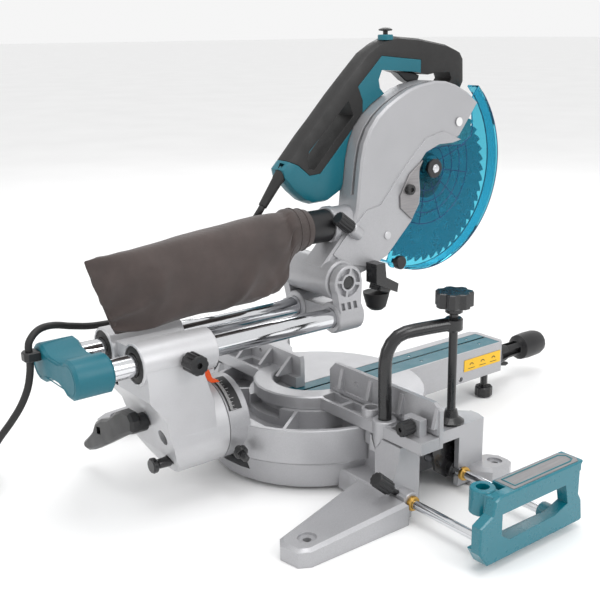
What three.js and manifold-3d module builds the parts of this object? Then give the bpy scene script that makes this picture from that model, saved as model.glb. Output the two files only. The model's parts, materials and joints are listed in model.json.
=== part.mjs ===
// Slide compound mitre saw, 216 mm blade. Millimetres, +Z up.
// Origin: mitre axis at bench level. +X is the operator's right, -Y is towards the operator.
import * as THREE from 'three';
import { mergeVertices } from 'three/addons/utils/BufferGeometryUtils.js';
import Module from 'manifold-3d';

const wasm = await Module();
wasm.setup();
const { Manifold, Mesh: SolidMesh } = wasm;

// ---- driving dimensions ------------------------------------------------
const TABLE_Z = 78;          // cutting surface above the bench
const GAP = 0.35;            // clearance between neighbouring pieces
const BASE_HALF = 227;       // half width of the base over its feet
const TABLE_HALF = 202;      // half width of the machined side tables
const RING_TOP = 38;         // top of the fixed ring that carries the turn base
const TURN_R = 138;          // turn base radius
const ARM_HALF = 31.5;       // half width of the turn base arm
const ARM_FRONT = -318;      // front end of the arm
const LEVER_Y = -304;        // pin of the mitre lock lever
const LEVER_Z = 27.4;
const FENCE_Y = 6.3;         // fence face
const FENCE_TOP_L = 128;
const BAR_REAR = 38;         // rear face of the fence bars
const FENCE_TOP_R = 117;
const DRUM_R = 48;           // bevel drum on the turn base
const DRUM_FRONT = 126;
const POLE_X = 35;           // half spacing of the two slide poles
const POLE_Z = 175.5;
const POLE_R = 12;
const HOUSING_R = 23.5;
const HOUSING_Y0 = 168;
const HOUSING_Y1 = 256;
const CAP_Y0 = 285;          // rear end cap
const CAP_Y1 = 327;
const PIVOT_Y = -14;         // chop pivot
const PIVOT_Z = 219.3;
const BLADE_R = 108;
const BLADE_Y = -183;        // blade axis with the head raised
const BLADE_Z = 318.4;
const GUARD_R = 130.3;        // the guard turns about its own centre, above the blade's
const GUARD_Y = -173.5;
const GUARD_Z = 334;
const GUARD_X0 = -15.5;      // outer face of the guard's side wall
const ROLLER_Y = -118;
const ROLLER_Z = 222.5;
const CASE_LEFT = -26;       // outer faces of the blade case
const CASE_RIGHT = 12;
const HANDLE_X = 19;         // centre plane of the D handle
const HANDLE_X0 = 4;
const HANDLE_X1 = 34;
const ROD_R = 5;             // wing rods
const ROD_REAR_Y = 40;
const ROD_FRONT_Y = -53;
const ROD_Z = 21;
const WING_OUT = -345;       // outer face of the left wing, drawn out by WING_STROKE
const WING_BOSS_X = -318.5;
const WING_STROKE = 80;
const VISE_X = -164;
const VISE_Y = 28;
const VISE_POST_R = 7.5;
const VISE_SCREW_X = -188;
const VISE_SCREW_Y = -50;
const CORD_R = 3.8;           // mains lead, 7.6 mm across
const DETAIL = 0.42;        // share of the asked segment counts that is used

// ---- small shape helpers -----------------------------------------------
const rad = (deg) => (deg * Math.PI) / 180;
const round = (n) => Math.max(8, 4 * Math.round((n * DETAIL) / 4));

function solid(geometry) {
  const g = geometry.clone();
  for (const name of ['normal', 'uv']) {
    g.deleteAttribute(name);
  }
  const merged = mergeVertices(g, 1e-4);
  const pos = merged.attributes.position.array;
  const idx = merged.index.array;
  const tris = [];
  let volume = 0;
  for (let i = 0; i < idx.length; i += 3) {
    const [a, b, c] = [idx[i], idx[i + 1], idx[i + 2]];
    if (a === b || b === c || a === c) {
      continue;
    }
    tris.push(a, b, c);
    const p = new THREE.Vector3().fromArray(pos, a * 3);
    const q = new THREE.Vector3().fromArray(pos, b * 3);
    const r = new THREE.Vector3().fromArray(pos, c * 3);
    volume += p.dot(q.cross(r));
  }
  if (volume < 0) {
    for (let i = 0; i < tris.length; i += 3) {
      [tris[i + 1], tris[i + 2]] = [tris[i + 2], tris[i + 1]];
    }
  }
  return new Manifold(new SolidMesh({
    numProp: 3,
    vertProperties: Float32Array.from(pos),
    triVerts: Uint32Array.from(tris),
  }));
}

function outline(points) {
  return new THREE.Shape(points.map(([a, b]) => new THREE.Vector2(a, b)));
}

function extrusion(points, depth, bevel = 0, segments = 1) {
  return new THREE.ExtrudeGeometry(outline(points), {
    depth: depth - 2 * bevel,
    bevelEnabled: bevel > 0,
    bevelThickness: bevel,
    bevelSize: bevel,
    bevelOffset: -bevel,
    bevelSegments: segments,
    steps: 1,
  }).translate(0, 0, bevel);
}

// Prisms with an outline given as [y, z], [x, z] or [x, y].
function prismX(points, x0, x1, bevel = 0, segments = 1) {
  const g = extrusion(points, x1 - x0, bevel, segments);
  const m = new THREE.Matrix4().makeBasis(
    new THREE.Vector3(0, 1, 0), new THREE.Vector3(0, 0, 1), new THREE.Vector3(1, 0, 0));
  return solid(g.applyMatrix4(m).translate(x0, 0, 0));
}

function prismY(points, y0, y1, bevel = 0, segments = 1) {
  const g = extrusion(points, y1 - y0, bevel, segments);
  const m = new THREE.Matrix4().makeBasis(
    new THREE.Vector3(1, 0, 0), new THREE.Vector3(0, 0, 1), new THREE.Vector3(0, -1, 0));
  return solid(g.applyMatrix4(m).translate(0, y1, 0));
}

function prismZ(points, z0, z1, bevel = 0, segments = 1) {
  return solid(extrusion(points, z1 - z0, bevel, segments).translate(0, 0, z0));
}

function box(x0, x1, y0, y1, z0, z1) {
  const g = new THREE.BoxGeometry(x1 - x0, y1 - y0, z1 - z0);
  return solid(g.translate((x0 + x1) / 2, (y0 + y1) / 2, (z0 + z1) / 2));
}

// Revolved outline of [radius, height] points about an axis through (cx, cy, cz).
function turned(profile, axis, cx, cy, cz, segments = 32) {
  const pts = profile.map(([r, h]) => new THREE.Vector2(r, h));
  const g = new THREE.LatheGeometry(pts, round(segments));
  if (axis === 'Z') {
    g.rotateX(Math.PI / 2);
  }
  if (axis === 'X') {
    g.rotateZ(-Math.PI / 2);
  }
  return solid(g.translate(cx, cy, cz));
}

function rodProfile(r, h0, h1, c) {
  return [[0, h0], [r - c, h0], [r, h0 + c], [r, h1 - c], [r - c, h1], [0, h1]];
}

function discProfile(r, h0, h1) {
  return [[0, h0], [r, h0], [r, h1], [0, h1]];
}

function cylX(y, z, r, x0, x1, segments = 32, c = 0) {
  const p = c > 0 ? rodProfile(r, x0, x1, c) : discProfile(r, x0, x1);
  return turned(p, 'X', 0, y, z, segments);
}

function cylY(x, z, r, y0, y1, segments = 32, c = 0) {
  const p = c > 0 ? rodProfile(r, y0, y1, c) : discProfile(r, y0, y1);
  return turned(p, 'Y', x, 0, z, segments);
}

function cylZ(x, y, r, z0, z1, segments = 32, c = 0) {
  const p = c > 0 ? rodProfile(r, z0, z1, c) : discProfile(r, z0, z1);
  return turned(p, 'Z', x, y, 0, segments);
}

// A turned piece whose own axis runs from one point towards a direction.
function turnedAlong(profile, origin, direction, segments = 24) {
  const pts = profile.map(([r, h]) => new THREE.Vector2(r, h));
  const g = new THREE.LatheGeometry(pts, round(segments));
  const q = new THREE.Quaternion().setFromUnitVectors(
    new THREE.Vector3(0, 1, 0), new THREE.Vector3(...direction).normalize());
  g.applyQuaternion(q);
  return solid(g.translate(...origin));
}

function tube(points, r, steps, sides, tension = 0.5) {
  const path = new THREE.CatmullRomCurve3(
    points.map((p) => new THREE.Vector3(...p)), false, 'catmullrom', tension);
  const ring = [];
  for (let i = 0; i < sides; i += 1) {
    const a = (2 * Math.PI * i) / sides;
    ring.push([r * Math.cos(a), r * Math.sin(a)]);
  }
  return solid(new THREE.ExtrudeGeometry(outline(ring), {
    steps, bevelEnabled: false, extrudePath: path,
  }));
}

function mirrored(part) {
  return part.mirror([1, 0, 0]);
}

function arcPoints(cx, cy, r, a0, a1, n) {
  const pts = [];
  for (let i = 0; i <= n; i += 1) {
    const a = rad(a0 + ((a1 - a0) * i) / n);
    pts.push([cx + r * Math.cos(a), cy + r * Math.sin(a)]);
  }
  return pts;
}

function addAll(parts) {
  return parts.reduce((sum, part) => sum.add(part));
}

function cutAll(body, cutters) {
  return cutters.reduce((rest, cutter) => rest.subtract(cutter), body);
}

// Regular knob with flutes round its rim, along a main axis.
function flutedKnob(r, h0, h1, flutes, depth) {
  const pts = [];
  const n = flutes * 3;
  for (let i = 0; i < n; i += 1) {
    const a = (2 * Math.PI * i) / n;
    const k = i % 3 === 0 ? r - depth : r;
    pts.push([k * Math.cos(a), k * Math.sin(a)]);
  }
  return extrusion(pts, h1 - h0, 1).translate(0, 0, h0);
}

function placed(geometry, origin, direction) {
  const q = new THREE.Quaternion().setFromUnitVectors(
    new THREE.Vector3(0, 0, 1), new THREE.Vector3(...direction).normalize());
  return solid(geometry.clone().applyQuaternion(q).translate(...origin));
}

// ---- scene assembly -----------------------------------------------------
const paints = {
  casting: { color: 0xc6c6c9, roughness: 0.45, metalness: 0.55 },
  armpaint: { color: 0xdedee0, roughness: 0.4, metalness: 0.35 },
  machined: { color: 0x9a9698, roughness: 0.5, metalness: 0.7 },
  teal: { color: 0x007f92, roughness: 0.38, metalness: 0.0 },
  tealclear: { color: 0x1c8fae, roughness: 0.12, metalness: 0.0 },
  black: { color: 0x1b1a1c, roughness: 0.5, metalness: 0.0 },
  rubber: { color: 0x2b2829, roughness: 0.75, metalness: 0.0 },
  steel: { color: 0xc9cacd, roughness: 0.2, metalness: 1.0 },
  chrome: { color: 0xdfe1e4, roughness: 0.08, metalness: 1.0 },
  brass: { color: 0xc9933a, roughness: 0.35, metalness: 1.0 },
  fabric: { color: 0x4e4442, roughness: 0.95, metalness: 0.0 },
  orange: { color: 0xf2541b, roughness: 0.45, metalness: 0.0 },
  plate: { color: 0xa9a9ab, roughness: 0.35, metalness: 0.8 },
};

const group = new THREE.Group();
group.name = 'slide_mitre_saw';

function node(name, body, paint) {
  const mesh = body.getMesh();
  const g = new THREE.BufferGeometry();
  g.setAttribute('position', new THREE.BufferAttribute(Float32Array.from(mesh.vertProperties), 3));
  g.setIndex(new THREE.BufferAttribute(Uint32Array.from(mesh.triVerts), 1));
  g.computeVertexNormals();
  const material = new THREE.MeshStandardMaterial(paints[paint]);
  material.name = paint;
  const item = new THREE.Mesh(g, material);
  item.name = name;
  group.add(item);
}

// ---- fixed base ----------------------------------------------------------
const ROD_LOCK = [-206, ROD_REAR_Y + 9, 30];
const ROD_LOCK_DIR = [0, 0.75, 0.66];

// Chamfered foot whose height falls from the body towards its far end.
function slopedFoot(plan, height, yHigh, yLow, fall, chamfer) {
  const g = extrusion(plan, height + chamfer, chamfer).translate(0, 0, -chamfer);
  const p = g.attributes.position;
  for (let i = 0; i < p.count; i += 1) {
    const k = Math.min(Math.max((p.getY(i) - yHigh) / (yLow - yHigh), 0), 1);
    p.setZ(i, Math.max(p.getZ(i), 0) * (1 - fall * k));
  }
  return solid(g).intersect(box(-400, 400, -400, 400, 0, 100));
}

function sideOfBase() {
  const plan = [[-TABLE_HALF, -89], [-187, -94], [-112, -94], [-112, 56], [-TABLE_HALF, 56]];
  const profile = [[-93, TABLE_Z], [-98, 30], [-98, 4], [56, 4], [56, 26], [44, 56],
    [40, TABLE_Z - 1], [12, TABLE_Z - 1], [12, TABLE_Z]];
  let body = prismZ(plan, 0, TABLE_Z).intersect(prismX(profile, -230, -100));
  body = body.subtract(cylZ(0, 0, TURN_R + 3.5, RING_TOP + 0.6, 90, 96));
  body = body.subtract(cylZ(0, 0, 130, -1, RING_TOP + 1, 64));
  body = body.subtract(box(-210, -149, -50, 11, -1, 64));
  const rearPlan = [[-BASE_HALF, 49.5], [-BASE_HALF, 178], [-220, 190], [-196, 194], [-186, 187],
    [-150, 62], [-120, 49.5]];
  const rear = slopedFoot(rearPlan, 27, 56, 190, 0.3, 4);
  const rearHollow = prismZ([[-219, 64], [-219, 140], [-190, 140], [-162, 64]], -1, 13);
  const frontPlan = [[-BASE_HALF, -80], [-BASE_HALF, -108], [-216, -124], [-198, -124],
    [-186, -112], [-180, -70], [-206, -66]];
  const front = slopedFoot(frontPlan, 24, -90, -124, 0.18, 4);
  const rodBoss = cylX(ROD_REAR_Y, ROD_Z, 12, -BASE_HALF + 6, -196, 24, 1)
    .add(box(-BASE_HALF + 6.5, -196, ROD_REAR_Y, 51, 4, ROD_Z + 9));
  body = addAll([body, rear.subtract(rearHollow), front, rodBoss]);
  const holes = [
    prismZ([[-195, 34], [-195, -84], [-183, -84], [-168, -71], [-149, -67], [-149, 20], [-163, 34]],
      -1, 68),
    prismZ([[-100, -50], [-124, -57], [-141, -71], [-164, -78], [-178, -91], [-178, -100],
      [-100, -100]], -1, 90),
    prismZ([[-100, 22], [-112, 27], [-150, 36], [-168, 56], [-168, 70], [-100, 70]], 29, 90),
    prismZ([[-100, 26], [-150, 30], [-180, 56], [-180, 70], [-100, 70]], 29, 61),
    cylZ(-206, 168, 4.5, -1, 40, 24),
    cylZ(-206, 168, 10, 17.6, 40, 24),
    cylZ(-208, -104, 4.5, -1, 40, 24),
    cylZ(-208, -104, 9, 18.4, 40, 24),
    cylZ(VISE_X, VISE_Y, 14.4, 61.5, 90, 32),
    rodLockBore(),
  ];
  return cutAll(body, holes);
}

function rodLockBore() {
  return turnedAlong(discProfile(3.8, -3, 24), ROD_LOCK, ROD_LOCK_DIR, 16);
}

function baseCasting() {
  const ring = turned([[118, 5], [127, 5], [136, 36], [135, RING_TOP], [122, RING_TOP],
    [118, 5]], 'Z', 0, 0, 0, 80);
  const parts = [ring, cylZ(0, 0, 26, 0, 36, 32, 1.5), cylZ(0, 0, 8.6, 30, 60, 24, 1)];
  for (let i = 0; i < 6; i += 1) {
    const spoke = box(20, 121, -4, 4, 10, 32);
    parts.push(spoke.rotate([0, 0, 60 * i + 30]));
  }
  const left = sideOfBase();
  const body = addAll([...parts, left, mirrored(left)]);
  const rodBores = [ROD_REAR_Y, ROD_FRONT_Y].flatMap((y) => [
    cylX(y, ROD_Z, ROD_R + 0.6, -240, -50, 24),
    cylX(y, ROD_Z, ROD_R + 0.6, 50, 240, 24),
  ]);
  // rear mouth of the ring for the sawdust that falls through the turn base
  return cutAll(body, [...rodBores, box(-40, 40, 100, 140, 20, 60)]);
}

node('base_casting', baseCasting(), 'casting');

function rodBracket() {
  const plate = prismX([[-78, 20], [-66, 12], [-44, 12], [-28, 24], [-20, 62], [-78, 62]],
    -188, -184);
  const hanger = box(-187, -150.5, -64, -54, 50, 62);
  const clamp = cylX(ROD_FRONT_Y, ROD_Z, 10, -194.5, -178, 24);
  return addAll([plate, hanger, clamp])
    .subtract(cylX(ROD_FRONT_Y, ROD_Z, ROD_R + 0.5, -200, -130, 24));
}

node('rod_bracket_left', rodBracket(), 'black');

// ---- guide fence ---------------------------------------------------------
function gusset(x, width, zTop, reach) {
  return prismX([[11, 92], [11 + reach, 92], [13, zTop], [11, zTop]], x - width / 2, x + width / 2);
}

function fenceCasting() {
  const base = TABLE_Z + GAP;
  const hoop = turned([[50, base], [74, base], [74, 92], [72, 93.5], [52, 93.5], [50, 92],
    [50, base]], 'Z', 0, 0, 0, 64).intersect(box(-90, 90, 12, 90, 60, 100));
  const barLeft = box(-232, -52, 12.2, BAR_REAR, base, 92);
  const barRight = box(52, 224, 12.2, BAR_REAR, base, 92);
  const face = box(9.5, 224, FENCE_Y, 12.4, base, FENCE_TOP_R)
    .subtract(prismY([[-1, 100], [-1, 200], [40, 200], [9.4, FENCE_TOP_R - 5]], 0, 20));
  const foot = box(9.5, 60, FENCE_Y, 20, base, 92);
  const parts = [hoop, barLeft, barRight, face, foot];
  for (const x of [30, 72, 120, 168, 216]) {
    parts.push(gusset(x, 5, FENCE_TOP_R - 4, 24));
  }
  parts.push(cylZ(VISE_X, VISE_Y, 13.6, 62, 96, 32, 1));
  parts.push(cylZ(-138, 25, 11, 78.35, 101, 24, 0.8));
  parts.push(box(-220, -196, 19, 29, base, 111));
  const body = addAll(parts);
  const pockets = [
    box(-128, -98, 17, 34, 83, 95),
    box(-92, -62, 17, 34, 83, 95),
    box(-192, -180, 17, 34, 83, 95),
    box(64, 108, 17, 34, 83, 95),
    box(124, 164, 17, 34, 83, 95),
    box(172, 212, 17, 34, 83, 95),
    cylZ(VISE_X, VISE_Y, VISE_POST_R + 0.3, 66, 110, 32),
    cylZ(-138, 25, 7.6, 84, 110, 24),
    cylY(-208, 102, 3.8, 10, 60, 20),
    cylY(96, 104, 3, 0, 30, 16),
    cylY(190, 104, 3, 0, 30, 16),
  ];
  return cutAll(body, pockets);
}

node('fence_casting', fenceCasting(), 'casting');

function slidingFence() {
  const plate = prismY([[-232, TABLE_Z + GAP], [-48, TABLE_Z + GAP], [-48, 118],
    [-58, FENCE_TOP_L], [-222, FENCE_TOP_L], [-232, 121]], FENCE_Y, 11.8);
  const parts = [plate, box(-228, -56, 11, 13.6, 93.9, 98)];
  for (const x of [-228, -174, -122, -72]) {
    parts.push(prismX([[11, 94], [13.6, 94], [13.6, 101.6], [18.5, 101.6], [13, 124], [11, 124]],
      x - 2.5, x + 2.5));
  }
  return addAll(parts).subtract(cylY(-96, 112, 3.2, 0, 30, 20));
}

node('fence_sliding_left', slidingFence(), 'casting');

function knobY(x, z, y0, y1, r, shankR, shankY0) {
  const knob = placed(flutedKnob(r, 0, y1 - y0, 10, 0.8), [x, y0, z], [0, 1, 0]);
  const socket = placed(flutedKnob(2.6, 0, 6, 6, 0.01), [x, y1 - 4, z], [0, 1, 0]);
  return knob.subtract(socket).add(cylY(x, z, shankR, shankY0, y0 + 1, 20));
}

node('fence_lock_screw', knobY(-208, 102, 29.5, 46, 8.2, 3.1, 19), 'black');

// ---- vertical vise --------------------------------------------------------
function visePost() {
  const x1 = VISE_SCREW_X;
  const y1 = VISE_SCREW_Y;
  const dir = new THREE.Vector2(x1 - VISE_X, y1 - VISE_Y).normalize();
  const at = (d, z) => [VISE_X + dir.x * d, VISE_Y + dir.y * d, z];
  const pts = [at(0, 67), at(0, 110), at(0, 158), at(3, 174), at(11, 186), at(24, 191.5),
    at(45, 193), at(70, 194), at(81.6, 194)];
  const arm = tube(pts, VISE_POST_R, 20, 12, 0.35);
  const eye = cylZ(x1, y1, 10.5, 186.5, 201.5, 28, 2);
  return arm.add(eye).subtract(cylZ(x1, y1, 5.3, 170, 210, 24));
}

function viseScrew() {
  const x = VISE_SCREW_X;
  const y = VISE_SCREW_Y;
  const stem = cylZ(x, y, 5, 86, 226, 24);
  const foot = turned([[0, TABLE_Z + 0.6], [15, TABLE_Z + 0.6], [15.5, TABLE_Z + 3], [9, 86],
    [7, 94], [0, 96]], 'Z', x, y, 0, 32);
  const knob = placed(flutedKnob(21, 0, 17, 7, 3.6), [x, y, 214], [0, 0, 1]);
  const hub = cylZ(x, y, 10, 207, 216, 24, 1);
  return addAll([stem, foot, hub, knob]);
}

node('vise_post', visePost(), 'black');
node('vise_screw', viseScrew(), 'black');

// ---- extension wings --------------------------------------------------------
function wingFrame(hasPlate) {
  const side = [[48, 74], [52, 60], [68, 52], [68, 24], [56, 8], [-84, 8], [-88, 10], [-85, 33],
    [-80, 41], [-80, 72], [-84, 77.6], [40, 77.6]];
  const window1 = [[38, 58], [38, 35], [26, 27], [-42, 29], [-62, 36], [-57, 58]];
  let body = prismX(side, WING_OUT, WING_OUT + 13, 1.5);
  const flange = prismX([[22, 62], [-78, 62], [-84, 66], [-84, 77.6], [22, 77.6]],
    WING_OUT + 2, WING_OUT + 30, 1);
  const boss = cylZ(WING_BOSS_X, 38.5, 13, 51, 77.6, 36, 1);
  const web = box(WING_OUT + 6, WING_BOSS_X, 30, 47, 55, 76);
  const foot = prismX([[66, 25], [56, 8], [-84, 8], [-86, 24]], WING_OUT + 8, WING_OUT + 20, 1);
  const rodBossF = cylX(ROD_FRONT_Y, ROD_Z, 10, WING_OUT + 8, WING_OUT + 26, 24, 1);
  const rodBossR = cylX(ROD_REAR_Y, ROD_Z, 10, WING_OUT + 8, WING_OUT + 26, 24, 1);
  body = addAll([body, flange, boss, web, foot, rodBossF, rodBossR]);
  body = cutAll(body, [
    prismX(window1, WING_OUT - 1, WING_OUT + 13.5),
    cylZ(WING_BOSS_X, 38.5, 7, 60, 90, 32),
    cylX(ROD_FRONT_Y, ROD_Z, ROD_R + 0.25, WING_OUT + 10, -200, 24),
    cylX(ROD_REAR_Y, ROD_Z, ROD_R + 0.25, WING_OUT + 10, -200, 24),
  ]);
  return hasPlate ? body.subtract(wingPlateSolid(0.25, 4)) : body;
}

function wingPlateSolid(grow, lift) {
  const x0 = WING_OUT + 3 - grow;
  const x1 = WING_OUT + 28 + grow;
  return prismZ([[x0, -78 - grow], [x0 + 5, -82 - grow], [x1 - 7, -82 - grow], [x1, -76 - grow],
    [x1, 20 + grow], [x0, 20 + grow]], 75.8 - grow, TABLE_Z + lift);
}

node('wing_left', wingFrame(true), 'teal');
node('wing_plate_left', wingPlateSolid(0, 0), 'machined');

function wingRod(y) {
  return cylX(y, ROD_Z, ROD_R, WING_OUT + 10.4, -142.5, 24, 0.8);
}

node('wing_rod_rear_left', wingRod(ROD_REAR_Y), 'chrome');
node('wing_rod_front_left', wingRod(ROD_FRONT_Y), 'chrome');

// The right wing mirrors the left one and is pushed in.
function onRight(part) {
  return mirrored(part).translate([-WING_STROKE, 0, 0]);
}

node('wing_right', onRight(wingFrame(false)), 'teal');
node('wing_rod_rear_right', onRight(wingRod(ROD_REAR_Y)), 'chrome');
node('wing_rod_front_right', onRight(wingRod(ROD_FRONT_Y)), 'chrome');

function rodPlug(y, x) {
  const inner = ROD_R + 0.35;
  return turned([[inner, x - 4.6], [7.2, x - 4.6], [8.2, x - 3.2], [8.2, x], [inner, x],
    [inner, x - 4.6]], 'X', 0, y, ROD_Z, 24);
}

node('rod_plug_rear_left', rodPlug(ROD_REAR_Y, -BASE_HALF + 5.7), 'brass');
node('rod_plug_front_left', rodPlug(ROD_FRONT_Y, -TABLE_HALF - 4.6), 'brass');

function rodLock() {
  const knob = placed(flutedKnob(8.2, 13, 38, 10, 0.8), ROD_LOCK, ROD_LOCK_DIR);
  const shank = turnedAlong(discProfile(3.3, -1, 14), ROD_LOCK, ROD_LOCK_DIR, 16);
  return knob.add(shank);
}

node('wing_lock_screw_left', rodLock(), 'black');

// ---- turn base ------------------------------------------------------------
function turnBase() {
  const z0 = RING_TOP + 1.2;
  let disc = turned([[0, z0], [TURN_R + 1.5, z0], [TURN_R + 1.5, z0 + 3], [TURN_R, TABLE_Z - 1],
    [TURN_R - 1, TABLE_Z], [0, TABLE_Z]], 'Z', 0, 0, 0, 96);
  const frontHollow = turned([[34, 30], [129, 30], [129, 66], [34, 66], [34, 30]], 'Z',
    0, 0, 0, 64).intersect(box(-140, 140, -140, 0, 20, 70));
  const rearHollow = turned([[34, 30], [129, 30], [129, 50], [34, 50], [34, 30]], 'Z',
    0, 0, 0, 64).intersect(box(-140, 140, 0.5, 96, 20, 70));
  disc = disc.subtract(frontHollow).subtract(rearHollow);
  // open tray behind the fence, split by two radial webs
  let tray = turned([[80, 56], [132, 56], [132, 90], [80, 90], [80, 56]], 'Z', 0, 0, 0, 96);
  tray = tray.intersect(box(-140, 140, 18, 116, 40, 100));
  for (const a of [52, 128]) {
    tray = tray.subtract(box(60, 150, -2, 2, 40, 100).rotate([0, 0, a]));
  }
  disc = disc.subtract(tray);
  const arm = prismZ([[-ARM_HALF, -100], [-ARM_HALF, ARM_FRONT + 7], [-24, ARM_FRONT],
    [24, ARM_FRONT], [ARM_HALF, ARM_FRONT + 7], [ARM_HALF, -100]], 35, TABLE_Z)
    .subtract(cylZ(0, 0, TURN_R, 30, RING_TOP + 1.2, 64));
  const armHollow = box(-26, 26, ARM_FRONT + 8, -132, 30, 68);
  const drumFront = cylY(0, TABLE_Z, DRUM_R, DRUM_FRONT, 152, 72)
    .intersect(addAll([box(-80, 80, 141, 160, 0, 160), box(-80, 80, 90, 142, z0, 160)]));
  const drumHollow = cylY(0, TABLE_Z, 33, DRUM_FRONT + 6, 153, 40);
  let body = addAll([disc, arm, drumFront]);
  body = body.subtract(armHollow.subtract(box(-30, 30, -292, -280, 30, 70)));
  body = body.subtract(drumHollow);
  const lug = (x) => box(x, x + 4, ARM_FRONT + 2, LEVER_Y + 5, 23, 41);
  body = addAll([body, lug(1), lug(16)]);
  const recess = prismZ([[-28.6, ARM_FRONT + 8], [19, ARM_FRONT + 8], [19, 29], [-28.6, 29]],
    TABLE_Z - 4.3, TABLE_Z + 2);
  return cutAll(body, [
    recess,
    box(-13, 13, ARM_FRONT + 16, 22, 60, TABLE_Z + 1),
    cylZ(0, 0, 9, 20, 62, 24),
    cylX(-230, 40.5, 4, -40, -20, 20),
    cylX(LEVER_Y, LEVER_Z, 2.8, -2, 23, 20),
    cylZ(-22, -287, 5.6, 20, 60, 20),
    cylY(0, 46, 4.4, ARM_FRONT - 2, ARM_FRONT + 12, 20),
    box(-30, 30, 60, 80, TABLE_Z - 12, TABLE_Z + 1),
  ]);
}

node('turn_base', turnBase(), 'casting');

function kerfBoard(xa, xb, edge, undercut) {
  const z0 = TABLE_Z - 4;
  const z1 = TABLE_Z - 0.3;
  const left = edge < 0;
  const shape = left
    ? [[xa, z0], [xb - undercut, z0], [xb, z1], [xa, z1]]
    : [[xa + undercut, z0], [xb, z0], [xb, z1], [xa, z1]];
  let board = prismY(shape, ARM_FRONT + 8.4, 28.6);
  for (const y of [-282, -170, -60]) {
    board = board.subtract(cylZ((xa + xb) / 2, y, 2.6, TABLE_Z - 2.4, TABLE_Z + 1, 16));
  }
  return board;
}

node('kerf_board_left', kerfBoard(-28.2, -1.6, -1, 1.2), 'teal');
node('kerf_board_right', kerfBoard(1.6, 18.6, 1, 5.2), 'teal');

function bevelScale() {
  const ring = turned([[DRUM_R + 0.3, 134], [DRUM_R + 1.3, 134], [DRUM_R + 1.3, 150],
    [DRUM_R + 0.3, 150], [DRUM_R + 0.3, 134]], 'Y', 0, 0, TABLE_Z, 96);
  const wedge = prismY([[0, TABLE_Z], [-90, TABLE_Z + 44], [-90, TABLE_Z + 90],
    [-12, TABLE_Z + 90]], 120, 155);
  return ring.intersect(wedge);
}

node('bevel_scale', bevelScale(), 'black');

function mitreGrip() {
  const body = turned([[0, -432], [11, -431], [16.5, -427], [19, -419], [19.5, -400], [18.5, -384],
    [11, -380], [11, -350], [0, -350]], 'Y', 0, 0, 46, 40);
  const stem = cylY(0, 46, 4, -352, ARM_FRONT + 10, 20);
  const collar = turned([[0, -350.2], [13, -350.2], [16, -330], [9, -321], [0, -321]], 'Y',
    0, 0, 46, 32);
  let grip = addAll([body, stem, collar]);
  for (let i = 0; i < 4; i += 1) {
    const bite = box(4.6, 18, -378, -334, -4.2, 4.2).rotate([0, 90 * i, 0])
      .translate([0, 0, 46]);
    grip = grip.subtract(bite);
  }
  return grip;
}

node('mitre_grip', mitreGrip(), 'black');

function mitreLever() {
  const bar = prismX([[-298, 24.6], [-342, 24.6], [-366, 19], [-372, 21], [-370, 24], [-346, 29.8],
    [-298, 29.8]], 6, 15, 1);
  return bar.add(cylX(LEVER_Y, LEVER_Z, 2.4, -1, 22, 20));
}

node('mitre_lock_lever', mitreLever(), 'black');

function levelFoot() {
  const stem = cylZ(-22, -287, 5, 12, 52, 20, 0.6);
  const pad = placed(flutedKnob(12.5, 0, 14, 9, 1), [-22, -287, 1.2], [0, 0, 1]);
  return stem.add(pad);
}

node('arm_foot_screw', levelFoot(), 'black');

// ---- bevel arm ---------------------------------------------------------------
function bevelArm() {
  const side = [[164, 28], [203, 28], [220, 60], [232, 110], [252, 138], [254, 172], [187, 172],
    [187, 154], [175, 123], [164, 54]];
  const front = [...arcPoints(0, TABLE_Z, DRUM_R, 168, 372, 22), [58, 150], [58, 172],
    [-58, 172], [-58, 150]];
  let body = prismX(side, -60, 60).intersect(prismY(front, 140, 260));
  const drum = cylY(0, TABLE_Z, DRUM_R, 152.4, 192, 72, 1);
  const housings = [-POLE_X, POLE_X].map((x) => cylY(x, POLE_Z, HOUSING_R, HOUSING_Y0, HOUSING_Y1,
    40, 1));
  body = addAll([body, drum, ...housings, box(-POLE_X, POLE_X, 176, 250, 160, 188)]);
  const cuts = [-POLE_X, POLE_X].map((x) => cylY(x, POLE_Z, POLE_R + 0.5, 150, 262, 32));
  for (const x of [-POLE_X, POLE_X]) {
    cuts.push(cylY(x, POLE_Z, 20.5, HOUSING_Y1 - 3.5, HOUSING_Y1 + 2, 36));
    cuts.push(cylY(x, POLE_Z, 17.5, HOUSING_Y0 - 2, HOUSING_Y0 + 3.5, 36));
  }
  cuts.push(prismX([[210, 104], [222, 104], [262, 150], [262, 156], [216, 156]], 14, 46));
  cuts.push(cylY(0, 96, 6.6, 140, 300, 24));
  cuts.push(cylY(-22, 52, 5.4, 185, 240, 20));
  cuts.push(cylY(-22, 52, 7.4, 213, 240, 20));
  cuts.push(cylY(-28, 84, 9, 208, 250, 24));
  cuts.push(cylX(206, POLE_Z, 4.4, -80, -POLE_X - 5, 20));
  return cutAll(body, cuts);
}

node('bevel_arm', bevelArm(), 'armpaint');

function bevelLever() {
  const z = 96;
  const bolt = cylY(0, z, 6, 165, 232, 24);
  const hub = cylY(0, z, 10.5, 231, 250, 28, 1);
  const blade = prismY([[13, 110], [-3, 111], [-11, 103], [-9, 90], [19, 76], [58, 54], [93, 35],
    [112, 27.5], [121, 28], [124, 35], [108, 47], [95, 58], [86, 72], [70, 81], [52, 87],
    [30, 102]], 240, 253, 3);
  const eye = prismY([[70, 62], [80, 60], [80, 69], [70, 71]], 235, 258);
  return addAll([bolt, hub, blade.subtract(eye)]);
}

node('bevel_lever', bevelLever(), 'black');

function releasePin() {
  return turned([[0, 190], [4.9, 190], [4.9, 215], [6.2, 217], [5.4, 231], [8.6, 234], [8.8, 238],
    [7.5, 239.5], [0, 239.5]], 'Y', -22, 0, 52, 28);
}

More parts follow.
